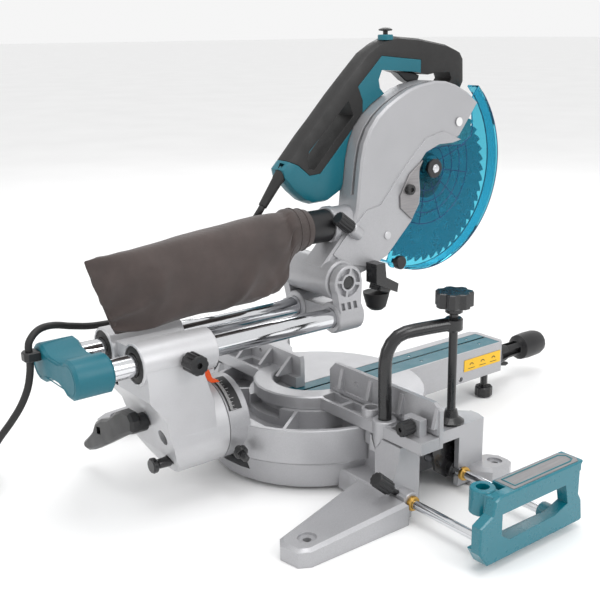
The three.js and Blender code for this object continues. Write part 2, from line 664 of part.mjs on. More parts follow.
node('bevel_release_pin', releasePin(), 'black');

function stopBolt() {
  const dir = [-0.93, 0.05, -0.36];
  const origin = [-46, 144, 55];
  const stem = turnedAlong(rodProfile(4.2, 0.6, 22, 0.8), origin, dir);
  const nut = placed(flutedKnob(8, 5, 12, 6, 0.01), origin, dir);
  return stem.add(nut);
}

node('bevel_stop_bolt', stopBolt(), 'black');

function pointer() {
  return prismX([[178.6, 146], [178.6, 138], [166, 136], [160, 129.5], [149, 128.2], [152, 131.5],
    [158, 134], [162, 146]], -24, -17);
}

node('bevel_pointer', pointer(), 'orange');

function slideLock() {
  const stem = cylX(206, POLE_Z, 4, -62, -POLE_X - POLE_R - 0.4, 20);
  const knob = placed(flutedKnob(11, 0, 20, 10, 0.9), [-61.5, 206, POLE_Z], [-1, 0, 0]);
  const hex = placed(flutedKnob(3.2, 0, 10, 6, 0.01), [-76, 206, POLE_Z], [-1, 0, 0]);
  return stem.add(knob).subtract(hex);
}

node('slide_lock_screw', slideLock(), 'black');

// ---- sliding carriage -----------------------------------------------------------
function pole(x) {
  return cylY(x, POLE_Z, POLE_R, -32, CAP_Y1 - 10, 40, 1);
}

node('slide_pole_left', pole(-POLE_X), 'chrome');
node('slide_pole_right', pole(POLE_X), 'chrome');

function endCap() {
  const lobeR = 21;
  const left = arcPoints(-POLE_X, POLE_Z, lobeR, 45, 315, 10);
  const right = arcPoints(POLE_X, POLE_Z, lobeR, -135, 135, 10);
  let body = prismY([...left, [-10, POLE_Z - 12], [10, POLE_Z - 12], ...right,
    [10, POLE_Z + 12], [-10, POLE_Z + 12]], CAP_Y0, CAP_Y1, 3);
  return cutAll(body, [-POLE_X, POLE_X].map((x) => cylY(x, POLE_Z, POLE_R + 0.35,
    CAP_Y0 - 2, CAP_Y1 - 9.4, 36)));
}

node('pole_end_cap', endCap(), 'teal');

function carriage() {
  const bossY0 = -38;
  const parts = [-POLE_X, POLE_X].map((x) => cylY(x, POLE_Z, 19, bossY0, 0, 36, 1.5));
  parts.push(box(-POLE_X, POLE_X, bossY0 + 3, -3, 162, 186));
  const ear = (x0, x1, r) => addAll([
    cylX(PIVOT_Y, PIVOT_Z, r, x0, x1, 40, 1),
    prismX([[-32, 172], [-4, 172], [3, 208], [6, PIVOT_Z], [-34, PIVOT_Z], [-33, 200]], x0, x1),
  ]);
  parts.push(ear(-53, -41, 20.6));
  parts.push(ear(44, 56, 22));
  let body = addAll(parts);
  const cuts = [-POLE_X, POLE_X].map((x) => cylY(x, POLE_Z, POLE_R + 0.35, -32.5, 4, 36));
  cuts.push(cylX(PIVOT_Y, PIVOT_Z, 8.3, -60, 60, 28));
  let spokes = turned([[10.5, -54], [17, -54], [17, -48.5], [10.5, -48.5], [10.5, -54]], 'X',
    0, PIVOT_Y, PIVOT_Z, 40);
  for (const a of [12, 102]) {
    spokes = spokes.subtract(box(-60, -40, -25, 25, -1.6, 1.6).rotate([a, 0, 0])
      .translate([0, PIVOT_Y, PIVOT_Z]));
  }
  cuts.push(spokes);
  for (let i = 0; i < 3; i += 1) {
    cuts.push(prismX([[-27 + 9 * i, 187], [-22 + 9 * i, 187], [-20 + 9 * i, 196],
      [-25 + 9 * i, 196]], -56, -49));
  }
  return cutAll(body, cuts);
}

node('carriage', carriage(), 'casting');
node('chop_pivot_pin', cylX(PIVOT_Y, PIVOT_Z, 8, -51.5, 54.5, 28, 1), 'black');

function guideBracket() {
  const bar = prismX([[-62, 208], [-96, 192], [-98, 203], [-78, 214], [-76, 232], [-62, 232]],
    -47, CASE_LEFT - 2);
  return bar.add(prismX([[-80, 193.5], [-97, 190], [-98, 203], [-84, 206]], -33, -12));
}

node('guide_bracket', guideBracket(), 'black');

node('dust_guide', turned([[0, 165.4], [8, 166.4], [12.5, 170.4], [16.5, 185], [17.2, 188.6],
  [0, 188.6]], 'Z', -18, -87, 0, 28), 'rubber');

// ---- head: blade case ------------------------------------------------------------
const STOP_ORIGIN = [-32, -36, 277];
const STOP_DIR = [0, 0.8, 0.6];
const CASE_CURVE = [[53, 114], [65, 116], [76, 118], [85, 120], [94, 121], [107, 122], [115, 123.5],
  [124, 125], [132, 128], [140, 131], [148, 133], [156, 132.5], [165, 130.5], [173, 129.5]];

function casePoints(shrink) {
  return CASE_CURVE.map(([a, r]) => [BLADE_Y - (r - shrink) * Math.cos(rad(a)),
    BLADE_Z + (r - shrink) * Math.sin(rad(a))]);
}

function guardSector(r, a0, a1, n) {
  return [[GUARD_Y, GUARD_Z], ...arcPoints(GUARD_Y, GUARD_Z, r, a0, a1, n)];
}

function bladeCase() {
  const edge = [[-96, 234], [-136, 271], [-149, 292], [-150, 308], [-148, 326], [-149, 344],
    [-159, 355], [-182, 363], [-205, 363], [-220, 370]];
  const armRear = [[-50, 298], [-46, 285], [-22, 262], [4, 236]];
  const armFront = [[-38, 214], [-72, 222]];
  const side = [...casePoints(0), ...armRear, [6, PIVOT_Z], ...armFront, ...edge];
  let body = prismX(side, CASE_LEFT, CASE_RIGHT, 2.5);
  const room = arcPoints(BLADE_Y, BLADE_Z, 112.5, 0, 360, 36).slice(1);
  const roomEnd = prismX([[-400, 100], [-95, 100], [-95, 236], [-60, 236], [-60, 460],
    [-400, 460]], -60, 60);
  const inner = prismX(room, CASE_LEFT + 9.4, CASE_RIGHT - 3).intersect(roomEnd);
  const wallSlot = prismX(guardSector(132.5, -10, 140, 26), GUARD_X0 - 1.2, GUARD_X0 + 3.2)
    .add(prismX(guardSector(132.5, 140, 235, 16), GUARD_X0 - 1.2, GUARD_X0 + 3.2)
      .intersect(prismX([[-400, 380], [-300, 100], [-96, 100], [-96, 236], [-128, 300],
        [-128, 380]], -60, 60)));
  body = body.subtract(inner).subtract(wallSlot);
  const barrel = cylX(PIVOT_Y, PIVOT_Z, 24, -40.4, 43.4, 44, 2);
  const elbow = cylY(-3, 279, 21, -62, -26, 36, 1);
  const lip = cylY(-3, 279, 22.5, -28, -20, 36, 1);
  const boss = turnedAlong(rodProfile(8, -16, 1, 1.5), STOP_ORIGIN, STOP_DIR);
  const step = prismX([[-220, 366], [-189, 378.5], [-159, 371.5], [-135, 349.5], [-115, 330.5],
    [-86, 298.5], [-64, 294.5], [-47, 279.5], [-31, 267.5], [-12, 248.5], [-26, 236], [-68, 224.5],
    [-96, 235], [-135, 272], [-149, 293], [-150, 308], [-148, 326], [-149, 344], [-159, 355],
    [-182, 363], [-205, 363]], CASE_LEFT - 1.6, CASE_LEFT + 1);
  body = addAll([body, barrel, elbow, lip, boss, step]);
  const cuts = [
    cylY(-3, 279, 18.2, -70, -10, 36),
    cylX(PIVOT_Y, PIVOT_Z, 8.4, -60, 60, 28),
    turnedAlong(discProfile(4.4, -14, 6), STOP_ORIGIN, STOP_DIR),
    turnedAlong(discProfile(9.4, 1, 40), STOP_ORIGIN, STOP_DIR),
    cylX(-128, 313, 3.3, -40, -10, 16),
    cylX(BLADE_Y, BLADE_Z, 30, 5, 20, 40),
    cylX(PIVOT_Y, PIVOT_Z, 30, -60, -40.2, 24),
  ];
  return cutAll(body, cuts);
}

node('blade_case', bladeCase(), 'casting');

node('centre_cover', prismX([[-152, 346], [-130, 331], [-115, 306], [-116, 291], [-135, 275],
  [-146, 294], [-147, 308], [-145, 326], [-147, 337]], CASE_LEFT - 4.2, CASE_LEFT - 1.95, 0.4)
  .subtract(cylX(-128, 313, 3.3, -40, -20, 16)), 'plate');

function coverScrew() {
  const head = cylX(-128, 313, 6.6, CASE_LEFT - 11, CASE_LEFT - 4.5, 24, 1);
  const stem = cylX(-128, 313, 2.9, CASE_LEFT - 5, CASE_LEFT + 3, 16);
  const hex = placed(flutedKnob(2.9, 0, 6, 6, 0.01), [CASE_LEFT - 7.4, -128, 313], [-1, 0, 0]);
  return head.add(stem).subtract(hex);
}

node('cover_screw', coverScrew(), 'black');

function stopperScrew() {
  const knob = placed(flutedKnob(8.4, 2, 26, 12, 0.8), STOP_ORIGIN, STOP_DIR);
  const stem = turnedAlong(discProfile(3.7, -13, 3), STOP_ORIGIN, STOP_DIR, 16);
  return knob.add(stem);
}

node('depth_stop_screw', stopperScrew(), 'black');

node('dust_nozzle', turned([[17.6, -34], [16, -34], [16, 46], [19.6, 46], [19.6, -19.4],
  [17.6, -19.4], [17.6, -34]], 'Y', -3, 0, 279, 36), 'black');

// The dust bag is a closed soft body; its cuff grips the nozzle tube.
function dustBag() {
  const sections = [
    [14, 22.5, 22.5, 279], [34, 23, 24, 277], [50, 26, 34, 268], [80, 28, 44, 260],
    [130, 28, 46, 255], [190, 24, 45, 251], [240, 18, 43, 248], [282, 6, 41, 245],
  ];
  const sides = 24;
  const positions = [];
  const index = [];
  for (const [y, hx, hz, cz] of sections) {
    for (let i = 0; i < sides; i += 1) {
      const a = (2 * Math.PI * i) / sides;
      positions.push(-3 + hx * Math.cos(a), y, cz + hz * Math.sin(a));
    }
  }
  const n = sections.length;
  for (let s = 0; s + 1 < n; s += 1) {
    for (let i = 0; i < sides; i += 1) {
      const a = s * sides + i;
      const b = s * sides + ((i + 1) % sides);
      index.push(a, b, a + sides, b, b + sides, a + sides);
    }
  }
  const capA = positions.length / 3;
  positions.push(-3, sections[0][0], sections[0][3]);
  const capB = capA + 1;
  positions.push(-3, sections[n - 1][0], sections[n - 1][3]);
  for (let i = 0; i < sides; i += 1) {
    const j = (i + 1) % sides;
    index.push(capA, j, i);
    index.push(capB, (n - 1) * sides + i, (n - 1) * sides + j);
  }
  const g = new THREE.BufferGeometry();
  g.setAttribute('position', new THREE.Float32BufferAttribute(positions, 3));
  g.setIndex(index);
  return solid(g).subtract(cylY(-3, 279, 19.9, 0, 48, 36));
}

node('dust_bag', dustBag(), 'fabric');

// ---- head: motor and handle --------------------------------------------------------
const GLAND = [15, 31, 341];   // where the lead leaves the handle
const GLAND_DIR = [0, 0.62, -0.78];
const GLAND_R = 7;
const HANDLE_OUTLINE = [[-142, 491], [-181, 488], [-228, 480], [-250, 472], [-256.5, 463],
  [-258, 434], [-252, 424], [-226, 410], [-200, 400], [-168, 392], [-130, 372], [-98, 345],
  [-68, 331], [-60, 318], [-32, 304], [-8, 303.5], [4, 309], [18, 321], [33, 338], [35, 348],
  [20, 363], [0, 384], [-19, 402], [-46, 429], [-73, 454], [-95, 474], [-111, 483], [-126, 489]];
const GRIP_HOLE = [[-114, 453], [-109, 442], [-111, 432], [-124, 419], [-168, 414], [-200, 422],
  [-225, 430], [-232, 439], [-228, 447], [-205, 447], [-190, 445], [-170, 449]];
const CARRY_SLOT = [[-62, 420], [-40, 399], [-3, 366], [0, 358], [-2, 345], [-10, 344],
  [-56, 390], [-70, 403]];

function handleBody() {
  const grip = prismX(HANDLE_OUTLINE, HANDLE_X0, HANDLE_X1, 9, 2)
    .subtract(prismX(GRIP_HOLE, -20, 80))
    .subtract(prismX(CARRY_SLOT, -20, 80));
  const caseRoom = prismX(casePoints(-1.2).concat([[-50, 298], [-80, 250], [-140, 262],
    [-220, 368]]), -60, CASE_RIGHT + GAP);
  const buttonBore = cylZ(15, -129, 3.5, 478, 500, 20).add(cylZ(15, -129, 12, 490.2, 500, 20));
  const triggerPocket = prismX([[-188, 444], [-132, 450], [-132, 462], [-188, 458]],
    HANDLE_X - 7, HANDLE_X + 9);
  const glandBore = turnedAlong(discProfile(GLAND_R + GAP, -12, 12), GLAND, GLAND_DIR);
  return cutAll(grip, [caseRoom, buttonBore, triggerPocket, glandBore]);
}

// Everything outside the inner shell line; the shell keeps a groove of width grow around it.
function overmouldZone(grow) {
  const inner = [[-178, 463], [-114, 469], [-77, 435], [-84, 419], [-84, 402], [-57, 376],
    [-19, 339], [-3, 338], [13, 351], [60, 372], [60, 250], [-178, 250]];
  const zone = box(-20, 80, -400, 120, 200, 600).subtract(prismX(inner, -21, 81));
  return grow > 0 ? zone.intersect(zone.translate([0, grow, grow]))
    .intersect(zone.translate([0, -grow, grow])) : zone;
}

const handle = handleBody();
node('handle_shell', handle.subtract(overmouldZone(0)), 'teal');
node('handle_overmould', handle.intersect(overmouldZone(0.4)), 'rubber');

function trigger() {
  return prismX([[-136, 451], [-148, 448], [-160, 439], [-172, 433.5], [-180, 433.5], [-184, 442],
    [-184, 444.4], [-172, 448], [-158, 449.6]], HANDLE_X - 6, HANDLE_X + 8, 1);
}

node('trigger', trigger(), 'black');

function lockButton() {
  return turned([[0, 484], [3, 484], [3, 497], [8.2, 497.6], [8.6, 499.2], [5, 501], [0, 501.4]],
    'Z', 15, -129, 0, 28);
}

node('lock_off_button', lockButton(), 'black');

function motor() {
  const start = new THREE.Vector3(66, -176, 326);
  const dir = [-0.06, 0.965, 0.255];
  const body = turnedAlong([[0, -14], [30, -14], [38, -6], [38, 60], [40, 64], [40, 122],
    [37, 134], [26, 140], [0, 140]], start.toArray(), dir, 40);
  const gear = cylX(BLADE_Y, BLADE_Z, 40, CASE_RIGHT + GAP, 60, 44, 2);
  return body.add(gear);
}

function motorTrimmed() {
  const clear = prismX(HANDLE_OUTLINE, HANDLE_X - 19, HANDLE_X + 18.4);
  return motor().subtract(clear).subtract(cylX(BLADE_Y, BLADE_Z, 13, 0, 30, 28));
}

node('motor_housing', motorTrimmed(), 'teal');

// ---- blade and guard ---------------------------------------------------------------
function blade() {
  const teeth = 48;
  const pts = [];
  for (let i = 0; i < teeth; i += 1) {
    const a = (2 * Math.PI * i) / teeth;
    const step = (2 * Math.PI) / teeth;
    pts.push([BLADE_R * Math.cos(a), BLADE_R * Math.sin(a)]);
    pts.push([(BLADE_R - 2.2) * Math.cos(a + step * 0.38), (BLADE_R - 2.2) * Math.sin(a + step * 0.38)]);
    pts.push([(BLADE_R - 7) * Math.cos(a + step * 0.88), (BLADE_R - 7) * Math.sin(a + step * 0.88)]);
  }
  const placedPts = pts.map(([a, b]) => [BLADE_Y - a, BLADE_Z + b]);
  return prismX(placedPts, -1, 1).subtract(cylX(BLADE_Y, BLADE_Z, 15, -5, 5, 36));
}

node('saw_blade', blade(), 'steel');
node('arbor_spindle', addAll([
  cylX(BLADE_Y, BLADE_Z, 14.7, -2.6, 5, 36),
  cylX(BLADE_Y, BLADE_Z, 24, 1.3, 5, 36),
  cylX(BLADE_Y, BLADE_Z, 12.5, 4, 26, 28),
]), 'steel');

function outerFlange() {
  const flange = turned([[0, -8], [20, -8], [25, -5], [25, -2.9], [0, -2.9]], 'X', 0, BLADE_Y,
    BLADE_Z, 36);
  const bolt = placed(flutedKnob(7.5, 0, 5, 6, 0.01), [-7.6, BLADE_Y, BLADE_Z], [-1, 0, 0]);
  return flange.add(bolt);
}

node('arbor_flange', outerFlange(), 'black');

function guard() {
  const x1 = 3;
  const wall = 2;
  const rear = [[-250, 413], [-253, 382], [-251, 368], [-234, 357], [-210, 358], [-182, 357],
    [-166, 352], [-157, 344], [-156, 326], [-158, 310], [-157, 290], [-144, 271], [-128, 253],
    [-113, 238]];
  const disc = prismX(arcPoints(GUARD_Y, GUARD_Z, GUARD_R, 0, 360, 54).slice(1), GUARD_X0, x1);
  const hollow = prismX(arcPoints(GUARD_Y, GUARD_Z, GUARD_R - 2.4, 0, 360, 54).slice(1),
    GUARD_X0 + wall, x1 + 5);
  const area = prismX([...rear, [-102, 214], [-96, 180], [-400, 180], [-400, 430], [-262, 430]],
    -60, 60);
  let body = disc.subtract(hollow).intersect(area);
  const hub = turned([[9.3, GUARD_X0 - 7], [16, GUARD_X0 - 7], [18, GUARD_X0 - 1], [18, GUARD_X0 + wall],
    [9.3, GUARD_X0 + wall], [9.3, GUARD_X0 - 7]], 'X', 0, GUARD_Y, GUARD_Z, 40);
  body = body.add(hub).subtract(cylX(GUARD_Y, GUARD_Z, 9.3, GUARD_X0 - 9, GUARD_X0 + 5, 40));
  const eye = cylX(ROLLER_Y, ROLLER_Z, 9, GUARD_X0, GUARD_X0 + wall, 24);
  return body.add(eye).subtract(cylX(ROLLER_Y, ROLLER_Z, 3.4, -40, 0, 16));
}

node('blade_guard', guard(), 'tealclear');
node('guard_hub_bolt', cylX(GUARD_Y, GUARD_Z, 8.9, -26.5, -13.6, 40)
  .add(cylX(GUARD_Y, GUARD_Z, 12, -30, -26, 40, 1)), 'black');

function guardRoller() {
  return turned([[0, -31], [7, -31], [8.6, -29.6], [8.6, -23.6], [3, -22.4], [3, -13.5], [0, -13.5]],
    'X', 0, ROLLER_Y, ROLLER_Z, 28);
}

node('guard_roller', guardRoller(), 'rubber');

// ---- mains lead ----------------------------------------------------------------------
const GUARD_LENGTH = 42;     // rubber guard from the handle, tapering to the lead
const CLIP = [35.5, 336.5, 185];
const CLIP_HALF = 5;
const COIL_X = 168;          // the spare length is put away in a coil on the bench
const COIL_Y = 400;
const COIL_INNER = 34.2;
const COIL_OUTER = 50;
const COIL_TOP = 23.2;
const PLUG_ANGLE = 50;       // place on the coil where the lead enters the plug

function alongGland(distance) {
  const d = new THREE.Vector3(...GLAND_DIR).normalize();
  return GLAND.map((v, i) => v + d.getComponent(i) * distance);
}

node('cord_guard', turnedAlong([[0, -8], [GLAND_R, -8], [GLAND_R, 6], [6.4, 8], [5, GUARD_LENGTH],
  [0, GUARD_LENGTH]], GLAND, GLAND_DIR, 24), 'rubber');

node('cord_upper', tube([alongGland(GUARD_LENGTH + 2 * GAP), alongGland(GUARD_LENGTH + 8),
  [23.5, 68, 287], [34, 76, 268], [46, 90, 246], [57, 111, 226], [64.5, 140, 207],
  [67.5, 175, 197], [67.5, 215, 192], [67.5, 250, 192.5], [64.5, 276, 198], [57, 297, 205],
  [47, 314, 208.5], [40, 326, 207], [36, 334.5, 200.5], [35.5, 336.5, 194.5],
  [35.5, 336.5, CLIP[2] + CLIP_HALF + GAP]], CORD_R, 30, 8), 'rubber');

node('cord_clip', prismZ([[CLIP[0] - 8, CAP_Y1 + GAP], [CLIP[0] + 8, CAP_Y1 + GAP],
  [CLIP[0] + 8, CLIP[1] + 4], [CLIP[0] + 4, CLIP[1] + 7], [CLIP[0] - 4, CLIP[1] + 7],
  [CLIP[0] - 8, CLIP[1] + 4]], CLIP[2] - CLIP_HALF, CLIP[2] + CLIP_HALF, 1), 'black');

const COIL_MEET = COIL_OUTER + CORD_R + GAP;
const DIAGONAL = Math.SQRT1_2 * COIL_MEET;
node('cord_free', tube([[CLIP[0], CLIP[1], CLIP[2] - CLIP_HALF - GAP], [36, 337.5, 168],
  [37.5, 341.5, 150], [41.5, 349.5, 131], [48, 360, 113], [57, 370, 96], [70, 380.5, 73],
  [84, 392, 52], [96, 404, 33], [107, 415, 18.5], [117, 425, 9.3], [124, 432, 5.2],
  [COIL_X - DIAGONAL, COIL_Y + DIAGONAL, CORD_R + 0.05]], CORD_R, 26, 8), 'rubber');

node('cord_coil', turned([[COIL_INNER, 0], [COIL_OUTER, 0], [COIL_OUTER, COIL_TOP],
  [COIL_INNER, COIL_TOP], [COIL_INNER, 0]], 'Z', COIL_X, COIL_Y, 0, 60), 'rubber');

function plug() {
  const bottom = COIL_TOP + GAP;
  const middle = bottom + 9;
  const body = prismZ([[-9, 22], [9, 22], [17, 32], [17, 52], [13, 60], [-13, 60], [-17, 52],
    [-17, 32]], bottom, bottom + 18, 3);
  const relief = cylY(0, middle, 5.6, 0, 24, 20, 0.8);
  const pins = [-9.5, 9.5].map((x) => cylY(x, middle, 2.3, 58, 79, 16, 0.8));
  const a = rad(PLUG_ANGLE);
  const r = (COIL_INNER + COIL_OUTER) / 2 - CORD_R;
  return addAll([body, relief, ...pins]).rotate([0, 0, PLUG_ANGLE - 180])
    .translate([COIL_X + r * Math.cos(a), COIL_Y + r * Math.sin(a), 0]);
}

node('mains_plug', plug(), 'black');

export default group;
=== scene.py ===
# Looks of the slide mitre saw: materials, cloth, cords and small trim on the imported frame.
# Metres, with MM where a value is given in millimetres.
import json
import math
import bmesh
import bpy
from mathutils import Matrix, Vector, noise


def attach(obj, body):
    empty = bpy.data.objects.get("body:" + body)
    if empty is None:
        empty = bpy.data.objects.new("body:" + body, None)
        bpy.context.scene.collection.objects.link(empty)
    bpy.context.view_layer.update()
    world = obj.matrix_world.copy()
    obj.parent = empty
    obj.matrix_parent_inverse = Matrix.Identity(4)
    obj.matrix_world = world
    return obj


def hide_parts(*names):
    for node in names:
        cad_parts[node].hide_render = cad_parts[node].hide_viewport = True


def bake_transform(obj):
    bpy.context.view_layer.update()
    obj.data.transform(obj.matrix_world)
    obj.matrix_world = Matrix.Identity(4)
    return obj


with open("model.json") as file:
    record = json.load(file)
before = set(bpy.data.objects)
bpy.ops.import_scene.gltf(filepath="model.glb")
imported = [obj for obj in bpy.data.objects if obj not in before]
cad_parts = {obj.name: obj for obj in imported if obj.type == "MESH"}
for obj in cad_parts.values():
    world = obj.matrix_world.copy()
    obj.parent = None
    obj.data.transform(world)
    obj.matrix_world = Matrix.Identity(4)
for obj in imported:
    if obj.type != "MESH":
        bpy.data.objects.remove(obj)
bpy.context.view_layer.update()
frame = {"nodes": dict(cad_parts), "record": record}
MM = 0.001
SMOOTH_ANGLE = math.radians(31)
ROUND_ANGLE = math.radians(35)


# ---- camera ------------------------------------------------------------------
# The camera as solved from the photo: degrees, metres, and shifts as shares of the picture.
VIEW_AZIMUTH, VIEW_PITCH, VIEW_ROLL = 231.049, 18.036, -0.509
VIEW_PLACE = (-0.878, 0.666, 0.5004)
VIEW_LENS = 56.99
VIEW_SHIFT_X, VIEW_SHIFT_Y = -0.0677, 0.0630


def make_camera():
    azimuth, pitch, roll = (math.radians(a) for a in (VIEW_AZIMUTH, VIEW_PITCH, VIEW_ROLL))
    back = Vector((math.sin(azimuth) * math.cos(pitch), -math.cos(azimuth) * math.cos(pitch),
                   math.sin(pitch)))
    right = Vector((0, 0, 1)).cross(back).normalized()
    up = back.cross(right)
    right, up = (right * math.cos(roll) + up * math.sin(roll),
                 up * math.cos(roll) - right * math.sin(roll))
    data = bpy.data.cameras.new("view")
    data.sensor_width = 36
    data.lens = VIEW_LENS
    data.shift_x = VIEW_SHIFT_X
    data.shift_y = VIEW_SHIFT_Y
    camera = bpy.data.objects.new("view", data)
    bpy.context.scene.collection.objects.link(camera)
    turn = Matrix((right, up, back)).transposed().to_4x4()
    camera.matrix_world = Matrix.Translation(VIEW_PLACE) @ turn
    bpy.context.scene.camera = camera


make_camera()


# ---- mesh helpers ------------------------------------------------------------
def mesh_object(name, points, faces, smooth=True):
    mesh = bpy.data.meshes.new(name)
    mesh.from_pydata([tuple(p) for p in points], [], faces)
    mesh.validate()
    mesh.update()
    for polygon in mesh.polygons:
        polygon.use_smooth = smooth
    obj = bpy.data.objects.new(name, mesh)
    bpy.context.scene.collection.objects.link(obj)
    return obj


def round_edges(obj, width=0.0):
    """Crisp creases between smooth faces, and with a width a narrow bevel along the edges."""
    if width > 0:
        bevel = obj.modifiers.new("round", "BEVEL")
        bevel.width = width
        bevel.segments = 1
        bevel.limit_method = "ANGLE"
        bevel.angle_limit = ROUND_ANGLE
    split = obj.modifiers.new("crease", "EDGE_SPLIT")
    split.split_angle = SMOOTH_ANGLE


def lathe(name, profile, origin, axis, sides):
    """Turned piece in millimetres: profile of (radius, height) along axis from origin.

    A profile that starts off the axis is a closed ring, and one that starts on it is a cap.
    """
    turn = Vector((0, 0, 1)).rotation_difference(Vector(axis).normalized())
    points = []
    faces = []
    for radius, height in profile:
        for i in range(sides):
            a = 2 * math.pi * i / sides
            local = Vector((radius * math.cos(a), radius * math.sin(a), height))
            points.append((Vector(origin) + turn @ local) * MM)
    closed = profile[0][0] > 0
    rows = len(profile)
    for row in range(rows if closed else rows - 1):
        upper = (row + 1) % rows
        for i in range(sides):
            j = (i + 1) % sides
            faces.append((row * sides + i, row * sides + j, upper * sides + j, upper * sides + i))
    obj = mesh_object(name, points, faces)
    clean(obj)
    round_edges(obj)
    return obj


def clean(obj):
    """Merge doubled points, drop empty faces, turn all faces outwards and shade them smooth."""
    work = bmesh.new()
    work.from_mesh(obj.data)
    bmesh.ops.remove_doubles(work, verts=work.verts, dist=1e-6)
    bmesh.ops.dissolve_degenerate(work, edges=work.edges, dist=1e-7)
    bmesh.ops.recalc_face_normals(work, faces=work.faces)
    work.to_mesh(obj.data)
    work.free()
    for polygon in obj.data.polygons:
        polygon.use_smooth = True


def slab(name, outline, origin, across, up, thickness):
    """Thin plate: outline of (a, b) points in the plane of across and up, raised off it."""
    across, up = Vector(across).normalized(), Vector(up).normalized()
    normal = across.cross(up)
    points = []
    for h in (0, thickness):
        for a, b in outline:
            points.append(Vector(origin) + across * a + up * b + normal * h)
    n = len(outline)
    faces = [tuple(reversed(range(n))), tuple(range(n, 2 * n))]
    for i in range(n):
        j = (i + 1) % n
        faces.append((i, j, n + j, n + i))
    obj = mesh_object(name, points, faces, smooth=False)
    clean(obj)
    round_edges(obj, min(thickness * 0.3, 0.4 * MM))
    return obj


def rounded_box(width, height, corner, steps=4):
    """Outline of a rectangle with round corners, centred on the origin."""
    outline = []
    for k, (sx, sy) in enumerate([(1, 1), (-1, 1), (-1, -1), (1, -1)]):
        for i in range(steps + 1):
            a = math.radians(90 * k + 90 * i / steps)
            outline.append((sx * (width / 2 - corner) + corner * math.cos(a),
                            sy * (height / 2 - corner) + corner * math.sin(a)))
    return outline


def joined(name, objects):
    """One object made of the meshes of several, which are removed."""
    work = bmesh.new()
    for obj in objects:
        work.from_mesh(obj.data)
        mesh = obj.data
        bpy.data.objects.remove(obj)
        bpy.data.meshes.remove(mesh)
    mesh = bpy.data.meshes.new(name)
    work.to_mesh(mesh)
    work.free()
    for polygon in mesh.polygons:
        polygon.use_smooth = True
    obj = bpy.data.objects.new(name, mesh)
    bpy.context.scene.collection.objects.link(obj)
    round_edges(obj)
    return obj


# ---- materials ---------------------------------------------------------------
MIX_A, MIX_B, MIX_RESULT = 6, 7, 2  # the colour sockets of a Mix node
WHITE = (1.0, 1.0, 1.0)
EDGE_RANGE = (0.80, 0.985)  # Bevel normal dot face normal, from an edge to an open face


def grey(level):
    """Neutral colour of a level."""
    return (level, level, level)


class Shader:
    """One procedural material: its node tree and a few short ways to add to it."""

    def __init__(self, name):
        self.material = bpy.data.materials.new(name)
        self.material.use_nodes = True
        self.nodes = self.material.node_tree.nodes
        self.links = self.material.node_tree.links
        self.surface = self.nodes["Principled BSDF"]
        self.where = self.nodes.new("ShaderNodeTexCoord").outputs["Object"]

    def link(self, a, b):
        self.links.new(a, b)

    def noise(self, scale, detail=3.0, rough=0.5, stretch=None):
        node = self.nodes.new("ShaderNodeTexNoise")
        node.inputs["Scale"].default_value = scale
        node.inputs["Detail"].default_value = detail
        node.inputs["Roughness"].default_value = rough
        source = self.where
        if stretch:
            mapping = self.nodes.new("ShaderNodeMapping")
            mapping.inputs["Scale"].default_value = stretch
            self.link(source, mapping.inputs["Vector"])
            source = mapping.outputs["Vector"]
        self.link(source, node.inputs["Vector"])
        return node.outputs["Fac"]

    def spread(self, value, low, high, start=0.3, end=0.7):
        """Map start..end of value to low..high, held at both ends."""
        node = self.nodes.new("ShaderNodeMapRange")
        node.inputs["From Min"].default_value = start
        node.inputs["From Max"].default_value = end
        node.inputs["To Min"].default_value = low
        node.inputs["To Max"].default_value = high
        self.link(value, node.inputs["Value"])
        return node.outputs["Result"]

    def math(self, kind, a, b):
        node = self.nodes.new("ShaderNodeMath")
        node.operation = kind
        for socket, value in zip(node.inputs, (a, b)):
            if isinstance(value, (int, float)):
                socket.default_value = value
            else:
                self.link(value, socket)
        return node.outputs["Value"]

    def mix(self, factor, a, b):
        """Colour between a and b, which are colours or outputs, by the output factor."""
        node = self.nodes.new("ShaderNodeMix")
        node.data_type = "RGBA"
        self.link(factor, node.inputs["Factor"])
        for socket, value in ((node.inputs[MIX_A], a), (node.inputs[MIX_B], b)):
            if isinstance(value, tuple):
                socket.default_value = (*value, 1)
            else:
                self.link(value, socket)
        return node.outputs[MIX_RESULT]

    def multiply(self, a, b):
        node = self.nodes.new("ShaderNodeMix")
        node.data_type = "RGBA"
        node.blend_type = "MULTIPLY"
        node.inputs["Factor"].default_value = 1.0
        self.link(a, node.inputs[MIX_A])
        self.link(b, node.inputs[MIX_B])
        return node.outputs[MIX_RESULT]

    def soft_normal(self, radius):
        node = self.nodes.new("ShaderNodeBevel")
        node.samples = 4
        node.inputs["Radius"].default_value = radius
        return node.outputs["Normal"]

    def edge_mask(self, radius):
        """1 along sharp edges, 0 on open faces."""
        soft = self.soft_normal(radius)
        geometry = self.nodes.new("ShaderNodeNewGeometry")
        dot = self.nodes.new("ShaderNodeVectorMath")
        dot.operation = "DOT_PRODUCT"
        self.link(soft, dot.inputs[0])
        self.link(geometry.outputs["Normal"], dot.inputs[1])
        return self.spread(dot.outputs["Value"], 1.0, 0.0, *EDGE_RANGE)

    def bump(self, height, distance, normal=None):
        node = self.nodes.new("ShaderNodeBump")
        node.inputs["Strength"].default_value = 1.0
        node.inputs["Distance"].default_value = distance
        self.link(height, node.inputs["Height"])
        if normal:
            self.link(normal, node.inputs["Normal"])
        return node.outputs["Normal"]

    def set(self, **values):
        for name, value in values.items():
            self.surface.inputs[name.replace("_", " ")].default_value = value


